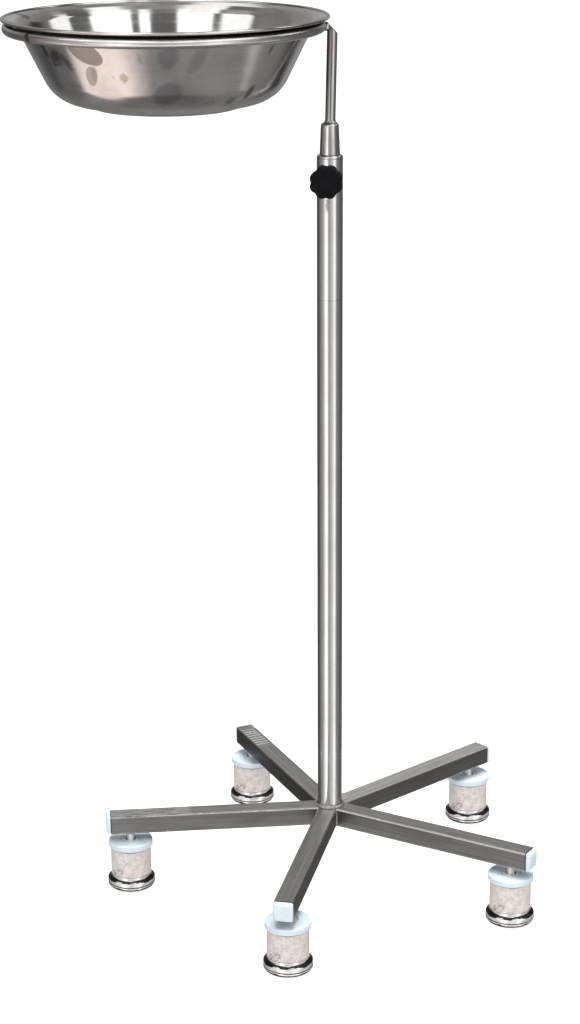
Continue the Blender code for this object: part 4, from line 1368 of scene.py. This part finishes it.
skirt_band = w_panels(
    bearing,
    [
        (-180.0, 0.30),
        (-158.0, 0.22),
        (-134.0, 0.17),
        (-101.0, 0.18),
        (-96.0, WARM),
        (-80.0, WARM),
        (-66.0, 0.42),
        (-50.0, 0.50),
        (-42.0, 1.90),
        (42.0, 1.90),
        (50.0, 0.75),
        (98.0, 0.75),
        (108.0, 0.26),
        (118.0, 0.24),
        (134.0, 0.20),
        (140.0, 0.05),
        (147.0, 0.06),
        (155.0, 0.28),
        (180.0, 0.30),
    ],
)
low_band = w_panels(
    bearing,
    [
        (-180.0, 0.36),
        (-134.0, 0.30),
        (-101.0, 0.24),
        (-96.0, WARM),
        (-48.0, WARM),
        (-14.0, 0.36),
        (60.0, 0.32),
        (120.0, 0.27),
        (180.0, 0.28),
    ],
)
light = w_mix(w_span(height, deg(-68), deg(-58)), tuple(0.17 / TOP for _ in range(3)), low_band)
light = w_mix(w_span(height, deg(-47), deg(-42)), light, skirt_band)
light = w_mix(w_span(height, deg(-32), deg(-27)), light, level_band)
light = w_mix(w_span(height, deg(3), deg(8)), light, brow_band)
light = w_mix(w_span(height, deg(19), deg(23)), light, shoulder_band)
light = w_mix(w_span(height, deg(36), deg(40)), light, high_band)

# Overhead the panels run on as long strips from front to back, laid out by the slope of a surface that would reflect each one to the front.
half_x = w_math("ADD", part.outputs[0], 0.086)
half_y = w_math("SUBTRACT", 0.99, part.outputs[1])
half_z = w_math("ADD", part.outputs[2], 0.10)
strip = w_math("ARCTAN2", half_x, half_y)
tilt = w_math("ARCTAN2", half_z, w_math("SQRT", w_math("ADD", w_math("MULTIPLY", half_x, half_x), w_math("MULTIPLY", half_y, half_y))))
near_strips = w_panels(
    strip,
    [
        (-90.0, 0.30),
        (-34.0, 0.30),
        (-31.0, 0.40),
        (-29.5, 0.60),
        (-20.5, 0.55),
        (-19.5, 0.35),
        (-17.5, 0.35),
        (-16.5, 1.70),
        (-0.6, 1.70),
        (0.8, 0.30),
        (10.5, 0.26),
        (11.6, 1.70),
        (15.0, 1.70),
        (16.0, 0.35),
        (18.2, 0.35),
        (19.4, 1.80),
        (35.3, 1.80),
        (36.6, 0.16),
        (46.5, 0.16),
        (48.0, 1.30),
        (55.0, 1.30),
        (58.0, 0.35),
        (90.0, 0.30),
    ],
    90.0,
)
middle_strips = w_panels(
    strip,
    [
        (-90.0, 0.32),
        (-36.0, 0.32),
        (-30.0, 0.24),
        (-19.8, 0.20),
        (-18.4, 1.60),
        (-4.0, 1.60),
        (-1.0, 0.95),
        (1.5, 0.42),
        (6.0, 0.40),
        (10.3, 0.50),
        (14.0, 0.36),
        (17.0, 0.36),
        (21.0, 0.75),
        (23.5, 1.60),
        (34.0, 1.60),
        (36.0, 0.30),
        (40.0, 0.20),
        (46.0, 0.22),
        (49.0, 0.50),
        (56.0, 0.45),
        (60.0, 0.30),
        (90.0, 0.30),
    ],
    90.0,
)
far_strips = w_panels(
    strip,
    [
        (-90.0, 0.32),
        (-34.0, 0.32),
        (-31.0, 1.00),
        (-27.0, 1.50),
        (-6.0, 1.50),
        (-3.0, 0.36),
        (5.0, 0.31),
        (10.0, 0.48),
        (14.0, 0.58),
        (18.0, 0.52),
        (23.0, 0.34),
        (32.0, 0.27),
        (41.0, 0.36),
        (50.0, 0.29),
        (90.0, 0.30),
    ],
    90.0,
)
overhead = w_mix(w_span(tilt, deg(40), deg(48)), near_strips, middle_strips)
overhead = w_mix(w_span(tilt, deg(60), deg(66)), overhead, far_strips)
light = w_mix(w_math("MULTIPLY", w_span(tilt, deg(27.5), deg(30)), w_span(height, deg(38), deg(43))), light, overhead)
seen = w_new("ShaderNodeBackground")
w_put(seen.inputs["Color"], light)
seen.inputs["Strength"].default_value = TOP
plain = w_new("ShaderNodeBackground")
plain.inputs["Color"].default_value = (1.0, 1.0, 1.0, 1.0)
plain.inputs["Strength"].default_value = 1.05
pick = w_new("ShaderNodeMixShader")
w_put(pick.inputs[0], w_new("ShaderNodeLightPath").outputs["Is Camera Ray"])
w_put(pick.inputs[1], seen.outputs[0])
w_put(pick.inputs[2], plain.outputs[0])
w_put(w_new("ShaderNodeOutputWorld").inputs["Surface"], pick.outputs[0])


def softbox(name, place, aim, size, power, colour=(1, 1, 1)):
    """A large soft lamp that lights the plastics and the floor."""
    lamp = bpy.data.lights.new(name, "AREA")
    lamp.shape = "RECTANGLE"
    lamp.size, lamp.size_y = size
    lamp.energy = power
    lamp.color = colour
    obj = bpy.data.objects.new(name, lamp)
    bpy.context.collection.objects.link(obj)
    obj.location = place
    obj.rotation_mode = "QUATERNION"
    obj.rotation_quaternion = (Vector(aim) - Vector(place)).to_track_quat("-Z", "Y")
    obj.visible_glossy = False
    return obj


softbox("key", (-0.3, -1.7, 2.9), (0.0, 0.0, 0.1), (0.8, 0.8), 22.0)
softbox("fill", (2.2, -1.8, 2.2), (0.0, 0.0, 0.3), (2.0, 2.0), 4.0)
softbox("top", (0.0, 0.3, 3.2), (0.0, 0.0, 0.0), (1.5, 1.5), 150.0)

bpy.context.scene.view_settings.view_transform = "Standard"
